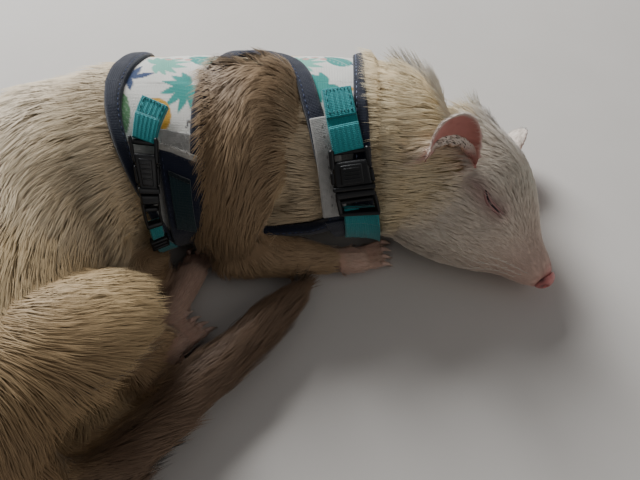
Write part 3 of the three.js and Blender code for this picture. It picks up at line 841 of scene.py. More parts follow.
def scatter():
    """Roots on the skin, as many as the density asks, with the vertices and weights they lie between."""
    mesh.calc_loop_triangles()
    tris = read(mesh.loop_triangles, "vertices", 3, np.int32)
    a, b, c = points[tris].transpose(1, 0, 2)
    area = np.linalg.norm(np.cross(b - a, c - a), axis=1) / 2 / MM**2
    mean = area * density[tris].mean(1) * TUFT_SHARE
    mean[points[tris][:, :, 2].max(1) < 0.9 * MM] = 0
    faces_floor = normals[tris][:, :, 2].mean(1) < -0.55
    mean *= np.where(faces_floor, 0.4, 1.12)
    count = rng.poisson(mean)
    which = np.repeat(np.arange(len(tris)), count)
    u, v = rng.random((2, len(which)))
    over = u + v > 1
    u[over], v[over] = 1 - u[over], 1 - v[over]
    return tris[which], np.stack([1 - u - v, u, v], 1)


def meets_harness(start, way, reach):
    return harness.ray_cast(start, way, reach)[0] is not None


def clears_harness(start, way, up):
    if meets_harness(start, way.normalized(), way.length):
        return False
    return not meets_harness(start + way, up, UNDER)


def under_harness(root, normal, tip):
    """How much of each tuft is free, and how much steeper it has to stand to pass over the trim."""
    free, steep = np.ones(len(root)), np.zeros(len(root))
    x, y = root[:, 0], root[:, 1]
    for i in np.nonzero((x > HARNESS_BOX[0]) & (x < HARNESS_BOX[1]) & (y > HARNESS_BOX[2]))[0]:
        start, up = Vector(root[i]), Vector(normal[i])
        way = Vector(tip[i]) - start
        if clears_harness(start, way, up):
            continue
        if meets_harness(start, up, UNDER):
            free[i] = 0
            continue
        for more in RAISES:
            raised = (way.normalized() + up * more).normalized() * way.length
            if clears_harness(start, raised, up):
                steep[i], free[i] = math.atan(more), 0.62
                break
        else:
            steep[i], free[i] = 0.8, 0.38
    return free, steep


def swung(start, end, turn):
    """The direction between two that stand square to each other, by the turn from the first."""
    return start * np.cos(turn)[:, None] + end * np.sin(turn)[:, None]


def make_tufts():
    """For each tuft its root, directions, sizes, rise and colours, and the leader its tip leans to."""
    corner, weight = scatter()
    root, normal, lie, dark, light = (
        (v[corner] * weight[:, :, None]).sum(1) for v in (points, normals, lies, roots, tips)
    )
    long, wide, up = ((v[corner] * weight).sum(1) for v in (length, width, lift))
    normal, lie = unit(normal), unit(lie)
    side = np.cross(lie, normal)
    sway = ripple(root, 17, 1) * 0.3 + ripple(root, 5, 2) * 0.13
    sway += rng.normal(0, 0.09, len(root))
    lie = unit(swung(lie, side, sway))
    long = long * (1 + 0.22 * ripple(root, 7, 4)) * rng.uniform(0.72, 1.15, len(root))
    rise = np.radians(up * (0.9 + 0.18 * ripple(root, 10, 6)) + rng.normal(0, 2.5, len(root)))
    end = root + swung(lie, normal, rise * 0.7) * (long * MM)[:, None]
    free, steep = under_harness(root, normal, end)
    rise = rise + steep
    keep = (free > 0.25) & (long > 0.3)
    root, normal, lie, long, wide, rise, dark, light, free = (
        v[keep] for v in (root, normal, lie, long, wide, rise, dark, light, free)
    )
    rise = rise + (1 - free) * 0.6
    long = long * np.clip(free + 0.1, 0, 1)
    leaders = rng.choice(len(root), len(root) // CLUMP, replace=False)
    tree = tree_of(root[leaders], leaders.tolist())
    leader = np.array([tree.find(p)[1] for p in root])
    return root, normal, lie, long, wide, rise, dark, light, leader


def make_coat():
    root, normal, lie, long, wide, rise, dark, light, leader = make_tufts()
    side = np.cross(lie, normal)
    reach = (long * MM)[:, None]
    line = [root + reach * t * swung(lie, normal, rise * (1.25 - 0.75 * t)) for t in STEPS]
    lean = line[2][leader] - line[2]
    lean *= np.minimum(1, 0.17 * reach / np.maximum(np.linalg.norm(lean, axis=1, keepdims=True), 1e-9))
    line = [spot + lean * 0.6 * t**2 for spot, t in zip(line, STEPS)]
    line[0] = root - normal * 0.25 * MM
    tone = rng.normal(1, 0.05, (len(root), 1)) * (1 + 0.06 * ripple(root, 4, 8)[:, None])
    verts, colours, shading = [], [], []
    for middle, t, full, shade in zip(line, STEPS, WIDTHS, SHADES):
        half = (wide * MM * full / 2)[:, None]
        verts += [middle - side * half, middle + side * half, middle + normal * half * 0.7]
        shading += [unit(normal + SOFTNESS * way) for way in (-side, side, normal)]
        colours += [(dark * shade * (1 - t) + light * t) * tone] * 3
    verts.append(line[2])
    colours.append(light * tone * 1.03)
    shading.append(normal)
    verts, shading = np.stack(verts, 1), np.stack(shading, 1)
    verts[:, :, 2] = np.maximum(verts[:, :, 2], 0.15 * MM)
    colours = np.clip(np.stack(colours, 1), 0, 1)
    tris = [(0, 2, 1)]
    for a in range(3):
        b = (a + 1) % 3
        tris += [(a, b, 3 + b), (a, 3 + b, 3 + a), (3 + a, 3 + b, 6)]
    tris = np.array(tris)[:, ::-1]
    corners = verts.shape[1]
    uv = unwrap_at(root, skin_unwrap())
    spread = np.array([((k % 3) / 2 - 0.5, k / 6 - 0.5) for k in range(corners)])
    order = np.argsort(root[:, 0] * 0.4 - root[:, 1], kind="stable")
    most = MOST_TRIANGLES // len(tris)
    for number, start in enumerate(range(0, len(order), most)):
        chosen = order[start : start + most]
        index = (np.arange(len(chosen)) * corners)[:, None, None] + tris[None]
        piece = fast_mesh(
            f"coat_{number:02d}",
            verts[chosen].reshape(-1, 3),
            index.reshape(-1, 3),
            colours[chosen].reshape(-1, 3),
        )
        place = (uv[chosen][:, None, :] + spread[None] * PATCH).reshape(-1, 2)
        layer = piece.data.uv_layers.new(name="OFBake")
        layer.data.foreach_set("uv", place[index.ravel()].astype(np.float32).ravel())
        piece.data.shade_smooth()
        piece.data.normals_split_custom_set_from_vertices(shading[chosen].reshape(-1, 3).tolist())
        finish_piece(piece, FUR, "cream")


make_coat()


# Shapes along a line: claws, whiskers and lids


def tube(path, radii, sides=8, flat=1.0, out=(0, 0, 1)):
    """Verts and faces of a closed tube. Flat squeezes it along the direction out."""
    path = np.asarray(path, float)
    way = unit(np.gradient(path, axis=0))
    high = np.broadcast_to(np.asarray(out, float), path.shape)
    high = unit(high - way * (high * way).sum(1, keepdims=True))
    side = np.cross(way, high)
    radii = np.broadcast_to(radii, len(path))
    turn = np.arange(sides) / sides * 2 * math.pi
    ring = side[:, None] * np.cos(turn)[None, :, None] + high[:, None] * np.sin(turn)[None, :, None] * flat
    verts = (path[:, None] + ring * radii[:, None, None]).reshape(-1, 3)
    return verts, tube_faces(len(path), sides)


def tube_faces(rings, sides, closed=False):
    """Faces round the rings, and either from the last ring to the first or over both ends."""
    faces = []
    for i in range(rings if closed else rings - 1):
        for j in range(sides):
            a, b = i * sides + j, i * sides + (j + 1) % sides
            step = sides if i < rings - 1 else sides - rings * sides
            faces.append((a, b, b + step, a + step))
    if not closed:
        faces.append(tuple(range(sides))[::-1])
        faces.append(tuple((rings - 1) * sides + j for j in range(sides)))
    return faces


class Parts:
    """Collects shapes, with their colours and thread directions, for one joined piece."""

    def __init__(self):
        self.verts, self.faces, self.colours, self.weave = [], [], [], []
        self.count = 0

    def add(self, verts, faces, colour, weave=None):
        verts = np.asarray(verts, float)
        self.verts.append(verts)
        self.faces += [tuple(self.count + v for v in f) for f in faces]
        self.colours.append(np.broadcast_to(colour, verts.shape))
        self.weave.append(np.zeros_like(verts) if weave is None else weave)
        self.count += len(verts)

    def piece(self, name, material, slot, *replaced, sharp=None):
        verts = np.vstack(self.verts)
        verts[:, 2] = np.maximum(verts[:, 2], 0.15 * MM)
        piece = new_mesh(name, verts, self.faces, np.vstack(self.colours))
        layer = piece.data.attributes.new("weave", "FLOAT_VECTOR", "POINT")
        layer.data.foreach_set("vector", np.vstack(self.weave).astype(np.float32).ravel())
        if sharp:
            piece.data.set_sharp_from_angle(angle=math.radians(sharp))
        finish_piece(piece, material, slot, *replaced)
        return piece


# The face's own pieces

NOSE = bare_material("nose_leather", 0.42, 2600, 0.00012, wet=0.35)
HORN = bare_material("claw_horn", 0.35, 900, 0.00003, wet=0.2)
LID = bare_material("eyelid", 0.5, 2200, 0.00006, wet=0.1)
HAIR_STIFF = bare_material("whisker", 0.45, 3000, 0.00001)

# The nose: its voxels' size, how much fuller it is than the plain pad and how much further back,
# its middle in the head's frame, and the nostrils' hollows with the reach of each
NOSE_VOXEL, NOSE_FULLNESS, NOSE_BACK = 0.22, 1.1, 0.7
NOSE_MIDDLE = (-1.5, 0, -0.3)
NOSTRILS = [((2.5, 2.9, -0.9), 1.2), ((0.4, 4.7, 0.1), 1.25)]


def make_nose():
    piece = placed("nose_pad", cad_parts["nose"].data.copy())
    piece.data = remeshed(piece, NOSE_VOXEL)
    piece.modifiers.clear()
    where = relaxed(points_of(piece.data), edges_of(piece.data), 5)
    spot = in_head(where)
    hollow = np.zeros(len(where))
    for side in (1, -1):
        for middle, reach in NOSTRILS:
            hollow += bell(np.linalg.norm(spot - middle * np.array((1, side, 1)), axis=1), reach)
    hollow = np.clip(hollow, 0, 1)
    where -= unit(where - from_head(NOSE_MIDDLE)) * (hollow * 0.45 * MM)[:, None]
    where = relaxed(where, edges_of(piece.data), 3)
    where = where.mean(0) + (where - where.mean(0)) * NOSE_FULLNESS - (HEAD_AXES[0] * NOSE_BACK * MM)
    wrinkle = ripple(where, 0.9, 21) * 0.05 + ripple(where, 0.45, 22) * 0.03
    where += unit(where - where.mean(0)) * (wrinkle * MM)[:, None]
    colour = srgb("cf7a74") * (1 + 0.15 * ripple(where, 2.2, 23)[:, None])
    # Painted shade: the nostrils' hollows darken to a deep brown-black, for the depth of the openings
    colour = towards(colour, srgb("3a1a1c"), hollow[:, None] ** 0.8)
    set_points(piece.data, where)
    paint(piece.data, np.clip(colour, 0, 1))
    piece.data.shade_smooth()
    finish_piece(piece, NOSE, "nose", "nose")


# Each closed eye's tubes: across from its line, radius, out from it, and colour
LIDS = [
    (0.62, 0.62, 0.05, "b98c86"),
    (-0.62, 0.66, 0.0, "b4847f"),
    (0.0, 0.42, 0.3, "24141a"),
]


def make_lids():
    parts = Parts()
    for side in (1, -1):
        line = eye_line(side, -1.5)
        out = unit(from_head(eye_line(side, 1.0)) - from_head(eye_line(side, 0.0))).mean(0)
        ends = np.sin(np.linspace(0.12, math.pi - 0.12, len(line))) ** 0.5
        way = unit(np.gradient(line, axis=0))
        high = unit(np.cross(way, unit(line * (0, 1, 1))))
        for offset, radius, height, colour in LIDS:
            path = from_head(line + high * offset * ends[:, None]) + out * height * MM
            parts.add(*tube(path, radius * ends * MM, 10, 0.7, out), srgb(colour))
    parts.piece("eyelids", LID, "skin")


def make_whiskers():
    """Whiskers on both sides of the muzzle, in three rows of five, longer towards the back."""
    parts = Parts()
    t = np.linspace(0, 1, 9)[:, None]
    for flip, row, k in np.ndindex(2, 3, 5):
        x = -4.5 - k * 2.4 - row * 0.8
        angle = (1 - 2 * flip) * (92 + row * 14 + k * 2)
        start = on_skull(x, angle, -1.2)
        out = unit(on_skull(x, angle, 2) - start)
        long = 11 + 3.2 * k + rng.uniform(-2, 2)
        back = np.array((-1.0, 0, -0.25 + 0.1 * row))
        bent = out * (0.75 * t - 0.3 * t**2) + back * (0.15 * t + 0.55 * t**2)
        path = from_head(start + long * bent)
        path[:, 2] = np.maximum(path[:, 2], 0.5 * MM)
        parts.add(*tube(path, (0.1 - 0.075 * t[:, 0]) * MM, 5), srgb("e8dfd2"))
    parts.piece("whiskers", HAIR_STIFF, "cream")


# Where each paw's toes end: the point before, the end, and how both shift from toe to toe
TOES = {
    "forepaw_left": ((58, 26, 3.6), (61, 25.4, 2.8), (0, 3.1, 0), (0, 3.3, 0)),
    "hindfoot_left": ((-25.5, -33, 4.4), (-24.6, -30, 3.6), (3.2, 0, 0), (3.4, 0, 0)),
    "forepaw_right": ((40.5, -31.6, 4.2), (44, -30.4, 3.2), (0, 3.2, 0), (0, 3.3, 0)),
    "hindfoot_right": ((-24.5, -64.5, 8), (-22.8, -62.2, 7.2), (2.6, -1.9, 0), (2.8, -2, 0)),
}


def make_claws():
    """Four claws on each paw, bent down and thinner to the tip."""
    parts = Parts()
    sides = 8
    t = np.linspace(0, 1, 9)[:, None]
    colour = towards(srgb("e6cdbb"), srgb("c69f90"), (1 - np.repeat(t, sides, 0)) * 0.8)
    radius = 0.85 * (1 - t[:, 0] ** 1.6) + 0.1
    for toes in TOES.values():
        before, end, shift_before, shift_end = np.array(toes)
        for k in (-1.5, -0.5, 0.5, 1.5):
            tip = end + k * shift_end
            ahead = unit(tip - (before + k * shift_before))
            path = tip - ahead * 1.2 + ahead * 5.2 * t
            path[:, 2:] += 0.7 - 0.4 * t - 2.2 * t**2
            path[:, 2] = np.maximum(path[:, 2], 0.6)
            parts.add(*tube(path * MM, radius * MM, sides, 1.25), colour)
    parts.piece("claws", HORN, "cream")


make_nose()
make_lids()
make_whiskers()
make_claws()

# The harness. A route is a line laid over the trunk: x goes across it, y along it and z out.

PRINT = cloth_material("printed_cloth", 0.8)
NAVY = cloth_material("navy_binding", 0.85)
WEB = cloth_material("woven_webbing", 0.7)
FELT = cloth_material("felt", 0.95, 5200)
PLASTIC = plastic_material()
TEAL = srgb("198f93")
TEAL_THREAD = srgb("0f6f74")
BLACK = srgb("141517")
GREY = srgb("b7b6b2")
TRIM = srgb("171e31")
WHITE_CLOTH = srgb("eeece4")
GREY_CLOTH = srgb("a9a8a4")
# The height over the trunk at which a route's length is measured
TAPE_HEIGHT = 4


class Route:
    """A line over the trunk through the spots, each a distance along the spine and an angle round it."""

    def __init__(self, spots, closed=False):
        t = np.linspace(0, 1, 361)
        if closed:
            self.spots = catmull([*spots * 3, spots[0]], (1 + t) / 3, False)
        else:
            self.spots = catmull(spots, t, False)
        self.run = lengths_along(trunk.point(*self.spots.T, TAPE_HEIGHT) / MM)
        self.length = self.run[-1]
        self.closed = closed

    def spot(self, y):
        """The spot at the distance y, also a little way before the start or past the end."""
        y = y % self.length if self.closed else y
        inside = np.clip(y, 0, self.length)
        s, angle = (np.interp(inside, self.run, self.spots[:, k]) for k in (0, 1))
        ends = (self.spots[-1] - self.spots[-2]) / (self.run[-1] - self.run[-2])
        return s + (y - inside) * ends[0], angle + (y - inside) * ends[1]

    def place(self, x, y, z):
        """Points in metres at the distances across, along and out."""
        x, y, z = np.broadcast_arrays(*(np.asarray(v, float) for v in (x, y, z)))
        s, angle = self.spot(y)
        at, along, turned, out = trunk.frame(s, angle, z)
        s1, a1 = self.spot(y + 0.4)
        way = unit(trunk.point(s1, a1, z) - at)
        across = unit(np.cross(way, out))
        reach = np.linalg.norm(trunk.point(s, angle + 1, z) - at, axis=-1) / MM
        ds = x * (across * along).sum(-1)
        da = x * (across * turned).sum(-1) / reach
        return trunk.point(s + ds, angle + da, z)


def band(parts, route, section, colour, start=0.0, end=None, step=0.7, wave=0.0, seed=0, skew=0.0):
    """A strip with the section, a closed line of x and z, swept along the route and maybe cut aslant."""
    end = route.length if end is None else end
    open_end = 0 if route.closed else 1
    rings = max(3, int(round((end - start) / step)) + open_end)
    y = start + (end - start) * np.arange(rings) / (rings - open_end)
    x, z = (np.broadcast_to(section[:, k], (rings, len(section))) for k in (0, 1))
    y = y[:, None] + skew * x
    if wave:
        flat = route.place(x * 0.7, y, 3.0).reshape(-1, 3)
        folds = smooth_noise(flat, 6.0, seed + 31)[:, 0] + 0.5 * smooth_noise(flat, 2.4, seed + 37)[:, 0]
        z = z + wave * folds.reshape(z.shape) * np.clip((z - section[:, 1].min()) / 1.5, 0, 1)
    verts = route.place(x, y, z).reshape(-1, 3)
    weave = np.stack([x, y, z], -1).reshape(-1, 3)
    if callable(colour):
        colour = colour(x.ravel(), y.ravel())
    parts.add(verts, tube_faces(rings, len(section), route.closed), colour, weave)


def flat_section(width, low, high, across=15, edge=0.45):
    """A flat strip with rounded edges."""
    half = width / 2
    x = np.linspace(-half, half, across)
    drop = edge * (1 - np.sqrt(np.clip(1 - (np.clip(np.abs(x) - half + edge, 0, None) / edge) ** 2, 0, 1)))
    top = np.stack([x, high - drop], 1)
    bottom = np.stack([x[::-1], low + 0 * x], 1)
    return np.vstack([top, bottom])[::-1]


def binding_section(width, low, high, seam):
    """A folded tape: full in the middle, thin at its edges, pressed down along its seam."""
    x = np.linspace(-1, 1, 21)
    top = low + (high - low) * np.clip(1 - np.abs(x) ** 5, 0, 1) ** 0.4
    top -= 0.32 * np.exp(-(((x * width / 2 - seam) / 0.42) ** 2))
    under = np.linspace(1, -1, 7)[1:-1]
    upper = np.stack([x * width / 2, top], 1)
    lower = np.stack([under * width / 2, low - 0.1 + 0 * under], 1)
    return np.vstack([upper, lower])[::-1]


def stitches(parts, route, x, z, start, end, colour, pitch=2.3, long=1.45, thick=0.34):
    """A row of sewn dashes, each a small lozenge sunk in the cloth at both ends."""
    rings, sides = 5, 6
    t = np.linspace(-1, 1, rings)[:, None]
    turn = np.arange(sides) / sides * 2 * math.pi
    radius = thick / 2 * np.sqrt(np.clip(1 - 0.8 * t**2, 0.04, 1))
    xs = x + radius * np.cos(turn)
    zs = z + ((1 - t**2) * 0.16 - 0.05) + radius * np.sin(turn)
    for y in np.arange(start + pitch / 2, end - pitch / 2, pitch):
        parts.add(route.place(xs, y + t * long / 2, zs).reshape(-1, 3), tube_faces(rings, sides), colour)


def fuzz(parts, route, x_range, y_range, z, count, colour, long=0.9, skew=0.0):
    """Short teased fibres standing on a strip."""
    x = rng.uniform(*x_range, count)
    y = rng.uniform(*y_range, count) + skew * x
    root = route.place(x, y, z)
    away = unit(route.place(x, y, z + 1.0) - root)
    lean = unit(away + rng.normal(0, 0.7, (count, 3)))
    side = unit(np.cross(lean, rng.normal(0, 1, (count, 3))))
    other = np.cross(lean, side)
    tip = root + lean * (long * rng.uniform(0.5, 1.2, (count, 1))) * MM
    corners = [root + (side * math.cos(a) + other * math.sin(a)) * 0.09 * MM for a in (0, 2.1, 4.2)]
    verts = np.stack(corners + [tip], 1).reshape(-1, 3)
    one = np.array([(0, 2, 1), (0, 1, 3), (1, 2, 3), (2, 0, 3)])
    parts.add(verts, (4 * np.arange(count)[:, None, None] + one).reshape(-1, 3), colour)


# The printed pattern: leaves, fruit and small marks of our own, on a repeat of this size

REPEAT = (47.0, 41.0)
LEAF_COLOURS = {
    "teal": srgb("2f9d94"),
    "mint": srgb("7cc4b0"),
    "navy": srgb("24406e"),
    "green": srgb("5f8f62"),
    "yellow": srgb("dba63a"),
    "brown": srgb("a5603a"),
    "pink": srgb("dba9a0"),
    "ink": srgb("1c2233"),
}
# Each motif's kind, place on the repeat, size, turn in degrees and colour
MOTIFS = [
    ("palm", 9, 9, 13.5, 40, "teal"),
    ("star", 30, 5, 10.5, 200, "navy"),
    ("oval", 38, 19, 8.6, 60, "green"),
    ("fruit", 22, 20, 5.2, 0, "yellow"),
    ("squiggle", 7, 23, 4.6, 20, "ink"),
    ("twig", 35, 32, 8.5, -25, "brown"),
    ("palm", 21, 37, 12.0, 190, "mint"),
    ("oval", 6, 33, 6.6, 130, "teal"),
    ("star", 45, 38, 8.0, 80, "navy"),
    ("dots", 14, 30, 1.3, 0, "pink"),
    ("dots", 45, 9, 1.2, 0, "yellow"),
    ("squiggle", 30, 25, 3.4, 110, "brown"),
]


def soft_edge(inside):
    """1 where the distance inside is positive, 0 outside, over a fifth of a millimetre."""
    return np.clip(inside / 0.2 + 0.5, 0, 1)


def rotated(x, y, turn):
    """Where x and y lie on axes that are turned by the degrees."""
    c, s = math.cos(math.radians(turn)), math.sin(math.radians(turn))
    return x * c + y * s, -x * s + y * c


def blade(x, y, turn, long, wide):
    """A pointed leaf blade from the middle, at the turn in degrees."""
    p, q = rotated(x, y, turn)
    t = np.clip(p / long, 0, 1)
    half = wide * np.sin(math.pi * t**0.8) ** 0.9
    return soft_edge(np.where((p > 0) & (p < long), half - np.abs(q), -1))


def motif(kind, x, y, size):
    """How much of the motif's colour, and how much of a lighter one for its veins, lies at x, y."""
    vein = np.zeros_like(x)
    if kind == "palm":
        turns = np.linspace(-104, 104, 9)
        mask = np.max([blade(x, y, a, size * (1 - abs(a) / 240), size * 0.115) for a in turns], 0)
    elif kind == "star":
        turns = range(0, 280, 40)
        mask = np.max([blade(x, y, a, size * (0.9 - 0.0015 * a), size * 0.11) for a in turns], 0)
    elif kind == "oval":
        inside = 1 - (x / size) ** 2 - (y / (0.62 * size * (1 + 0.25 * x / size))) ** 2
        mask = soft_edge(inside * size / 2)
        ribs = np.abs((x - np.abs(y) * 0.8) % 2.2 - 1.1) < 0.16
        vein = mask * np.maximum(soft_edge(0.2 - np.abs(y)), ribs * 0.6)
    elif kind == "fruit":
        mask = soft_edge(size - np.hypot(x, y * 0.85))
        vein = mask * soft_edge(0.2 - np.abs(np.hypot(x - 0.8, y - 0.6) - size * 0.55))
    elif kind == "squiggle":
        mask = soft_edge(np.where(np.abs(x) < size, 0.36 - np.abs(y - 0.9 * np.sin(x * 1.7)) * 0.8, -1))
    elif kind == "twig":
        mask = soft_edge(np.where(np.abs(x) < size, 0.3 - np.abs(y - 0.5 * np.sin(x * 0.4)), -1))
        for k in (-5, -1.5, 2, 5.5):
            mask = np.maximum(mask, blade(x - k, y, 50 if k < 0 else -55, 3.2, 0.7))
    else:
        spots = [size - np.hypot(x - i * 3.1, y - (i % 2) * 2.0) for i in (-1, 0, 1)]
        mask = soft_edge(np.max(spots, 0))
    return mask, vein


def printed(s, across):
    """The cloth's colour at s along the spine and the distance across."""
    colour = np.tile(WHITE_CLOTH, (len(s), 1))
    for kind, u, v, size, turn, name in MOTIFS:
        for i, j in np.ndindex(3, 3):
            x = s % REPEAT[0] - u + (i - 1) * REPEAT[0]
            y = across % REPEAT[1] - v + (j - 1) * REPEAT[1]
            near = np.nonzero(np.hypot(x, y) < size * 1.5 + 3)[0]
            if len(near):
                mask, vein = motif(kind, *rotated(x[near], y[near], turn), size)
                tone = towards(LEAF_COLOURS[name], WHITE_CLOTH, 0.45 * vein[:, None])
                colour[near] = towards(colour[near], tone, mask[:, None])
    return colour


def inside_loop(s, angle, loop, grow):
    """Whether each spot lies inside the loop, with the loop grown by the distance."""
    centre = loop.mean(0)
    scale = np.array([1.0, 0.6])
    spokes = (loop - centre) * scale
    reach = np.linalg.norm(spokes, axis=1) + grow
    turn = np.arctan2(spokes[:, 1], spokes[:, 0])
    order = np.argsort(turn)
    at = np.stack([s, angle], -1) - centre
    at[..., 1] = (at[..., 1] + 180) % 360 - 180
    at = at * scale
    limit = np.interp(np.arctan2(at[..., 1], at[..., 0]), turn[order], reach[order], period=2 * math.pi)
    return np.linalg.norm(at, axis=-1) < limit


def round_trunk(s_of):
    """A route all the way round the trunk, at the distance along it that is given for each angle."""
    route = Route([(s_of(a), a) for a in np.arange(0, 361, 15.0)])
    route.closed = True
    return route


right_armhole = Route(ARMHOLE, closed=True)
left_armhole = Route([(s, 2 * DORSAL - 2 - 0.6 * angle) for s, angle in ARMHOLE], closed=True)
collar = round_trunk(lambda a: COLLAR)
rear = round_trunk(rear_edge)


# The cloth: its middle height over the trunk, how thick it is, how far its edges lie inside the
# trims, how far it goes round for each degree, and where the girth strap pulls it
CLOTH_HEIGHT, CLOTH_THICK, CLOTH_INSET, CLOTH_ROUND, GIRTH_PULL = 1.75, 0.75, 1.5, 0.6, 108


def make_cloth():
    rows, rounds = ((150, 380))
    angle = np.linspace(0, 360, rounds, endpoint=False)
    share = np.linspace(0, 1, rows)
    first = COLLAR + CLOTH_INSET
    s = first + (rear_edge(angle) - CLOTH_INSET - first) * share[:, None]
    angle = np.broadcast_to(angle, s.shape)
    flat = trunk.point(s, angle, 2.0).reshape(-1, 3)
    folds = (ripple(flat, 15, 41) * 0.34 + ripple(flat, 6, 43) * 0.14).reshape(s.shape)
    pull = np.sin((angle - 20) * 0.22 + s * 0.35) * 0.16 * bell(s - GIRTH_PULL, 10)
    edge = np.clip(np.minimum(share, 1 - share) * 14, 0, 1)[:, None]
    height = CLOTH_HEIGHT + (folds + pull) * edge
    back_side = (angle < SEAM) | (angle > 360 + 2 * DORSAL - SEAM)
    # The pattern is counted from just beside the printed part, so that its two ends meet out of sight
    colour = printed(s.ravel(), ((angle + 150) % 360 * CLOTH_ROUND).ravel())
    colour = np.where(back_side.ravel()[:, None], colour, GREY_CLOTH)
    keep = ~inside_loop(s, angle, right_armhole.spots, -0.5)
    keep &= ~inside_loop(s, angle, left_armhole.spots, -0.5)
    verts = np.vstack([trunk.point(s, angle, h).reshape(-1, 3) for h in (height, height - CLOTH_THICK)])
    used, faces = thick_sheet(keep, rows, rounds)
    weave = np.stack([s, angle * CLOTH_ROUND, 0 * s], -1).reshape(-1, 3)
    parts = Parts()
    # The inner side takes the same colours at 0.6, as painted shade on the side that faces the body
    both = np.vstack([colour, colour * 0.6])
    parts.add(verts[used], faces, both[used], np.vstack([weave, weave])[used])
    parts.piece("vest_cloth", PRINT, "print", "vest_back", "vest_belly")


def thick_sheet(keep, rows, rounds):
    """Faces of both sides of a sheet that goes round, and of the rims where it ends."""
    cell = keep[:-1] & keep[1:]
    cell &= np.roll(cell, -1, 1)
    i, j = np.nonzero(cell)
    k = (j + 1) % rounds
    low = rows * rounds
    a, b, c, d = i * rounds + j, i * rounds + k, (i + 1) * rounds + k, (i + 1) * rounds + j
    faces = [np.stack([a, b, c, d], 1), np.stack([a, d, c, b], 1) + low]
    for di, dj, p, q in ((-1, 0, a, b), (0, 1, b, c), (1, 0, c, d), (0, -1, d, a)):
        ni, nj = i + di, (j + dj) % rounds
        outside = (ni < 0) | (ni >= rows - 1)
        beyond = outside | ~cell[np.clip(ni, 0, rows - 2), nj]
        faces.append(np.stack([q, p, p + low, q + low], 1)[beyond])
    faces = np.vstack(faces)[:, ::-1]
    used, renumbered = np.unique(faces, return_inverse=True)
    return used, renumbered.reshape(faces.shape).tolist()


def mottled(tone, strength, scale, seed):
    """The tone, lighter and darker in patches along a band."""

    def colour(x, y):
        patches = ripple(np.stack([x, y, 0 * x], 1) * MM, scale, seed)
        return tone * (1 + strength * patches[:, None])

    return colour


# Each trim's route, how far its seam lies across from its middle, and its thread
BINDINGS = {
    "binding_collar": (collar, 1.9, "8d97b4"),
    "binding_rear": (rear, -1.9, "39466e"),
    "binding_armhole_right": (right_armhole, 1.9, "39466e"),
    "binding_armhole_left": (left_armhole, 1.9, "39466e"),
}


def make_bindings():
    for name, (route, seam, thread) in BINDINGS.items():
        parts = Parts()
        section = binding_section(6.5, 0.45, 3.5, seam)
        band(parts, route, section, mottled(TRIM, 0.16, 7, 5), step=0.6, wave=0.16)
        stitches(parts, route, seam, 3.12, 0, route.length, srgb(thread))
        parts.piece(name.replace("binding", "trim"), NAVY, "navy", name)


# The tape's full width, and the distance between its ribs across it and its threads along it
TAPE, RIB, THREAD = 10.4, 1.7, 0.9


def webbing_colour(x, y):
    """Teal tape with paler threads along it and darker edges."""
    rib = np.sin(x * 2 * math.pi / RIB)
    pick = np.sin(y * 2 * math.pi / THREAD)
    edge = np.clip(np.abs(x) / (TAPE / 2) - 0.86, 0, 1)
    return TEAL * np.clip(1 + 0.14 * rib * pick + 0.08 * rib - edge, 0.4, 1.4)[:, None]


def webbing_section(width, low, high):
    """A woven tape, with its lengthwise ribs."""
    section = flat_section(width, low, high, 33, 0.35)
    top = section[:, 1] > (low + high) / 2
    section[top, 1] += 0.07 * np.cos(section[top, 0] * 2 * math.pi / RIB)
    return section


STRAPS = {
    "strap_girth_upper": [(116, 15.5), (119.5, 24), (123.5, 36)],
    "strap_girth_lower": [(128, 78), (127, 95), (122, 115)],
    "strap_neck_upper": [(53, 9), (51, 26), (48.6, 44)],
    "strap_neck_lower": [(44.8, 77), (44, 100), (44, 118)],
}


def make_straps():
    """The tapes: sewn down and folded back at a buckle above, and folded back at one below."""
    for name, spots in STRAPS.items():
        route = Route(spots)
        parts = Parts()

        def tape(less, low, high, start=0.0, end=None):
            band(parts, route, webbing_section(TAPE - less, low, high), webbing_colour, start, end, 0.32)

        tape(0, 3.7, 4.9)
        if name.endswith("upper"):
            sewn = min(10.5, route.length * 0.5)
            tape(0.3, 4.9, 5.8, 0.3, sewn)
            for x in (-3.9, 3.9):
                stitches(parts, route, x, 5.85, 0.8, sewn - 0.4, TEAL_THREAD)
            for y in (1.3, sewn - 1.3):
                for x in np.arange(-3.6, 3.7, 1.2):
                    stitches(parts, route, x, 5.85, y - 0.7, y + 0.7, TEAL_THREAD, 1.0, 0.9, 0.4)
            fold = route.length - 7.5
            tape(0.4, 6.2, 7.3, fold)
            # The turn of the tape at the fold, in teal darkened for painted shade
            band(parts, route, flat_section(TAPE - 0.4, 4.9, 7.1), TEAL * 0.8, fold - 0.6, fold + 0.6)
        else:
            tape(0.4, 5.1, 6.2, 0, 6.5)
        parts.piece(name.replace("strap", "webbing"), WEB, "teal", name)


def rounded_box(x0, x1, y0, y1, z0, z1, edge):
    """Verts and faces of a box with rounded edges, cut across often enough to bend along y."""
    box = bmesh.new()
    bmesh.ops.create_cube(box, size=1)
    size = Vector((x1 - x0, y1 - y0, z1 - z0))
    for v in box.verts:
        v.co = Vector((x0, y0, z0)) + size * 0.5 + size * v.co
    bmesh.ops.bevel(box, geom=box.edges[:], offset=edge, segments=4, profile=0.5, affect="EDGES")
    for y in np.arange(y0 + 1, y1, 1.0):
        geom = box.verts[:] + box.edges[:] + box.faces[:]
        bmesh.ops.bisect_plane(box, geom=geom, plane_co=(0, y, 0), plane_no=(0, 1, 0))
    box.verts.index_update()
    verts = np.array([v.co[:] for v in box.verts])
    faces = [tuple(v.index for v in f.verts) for f in box.faces]
    box.free()
    return verts, faces


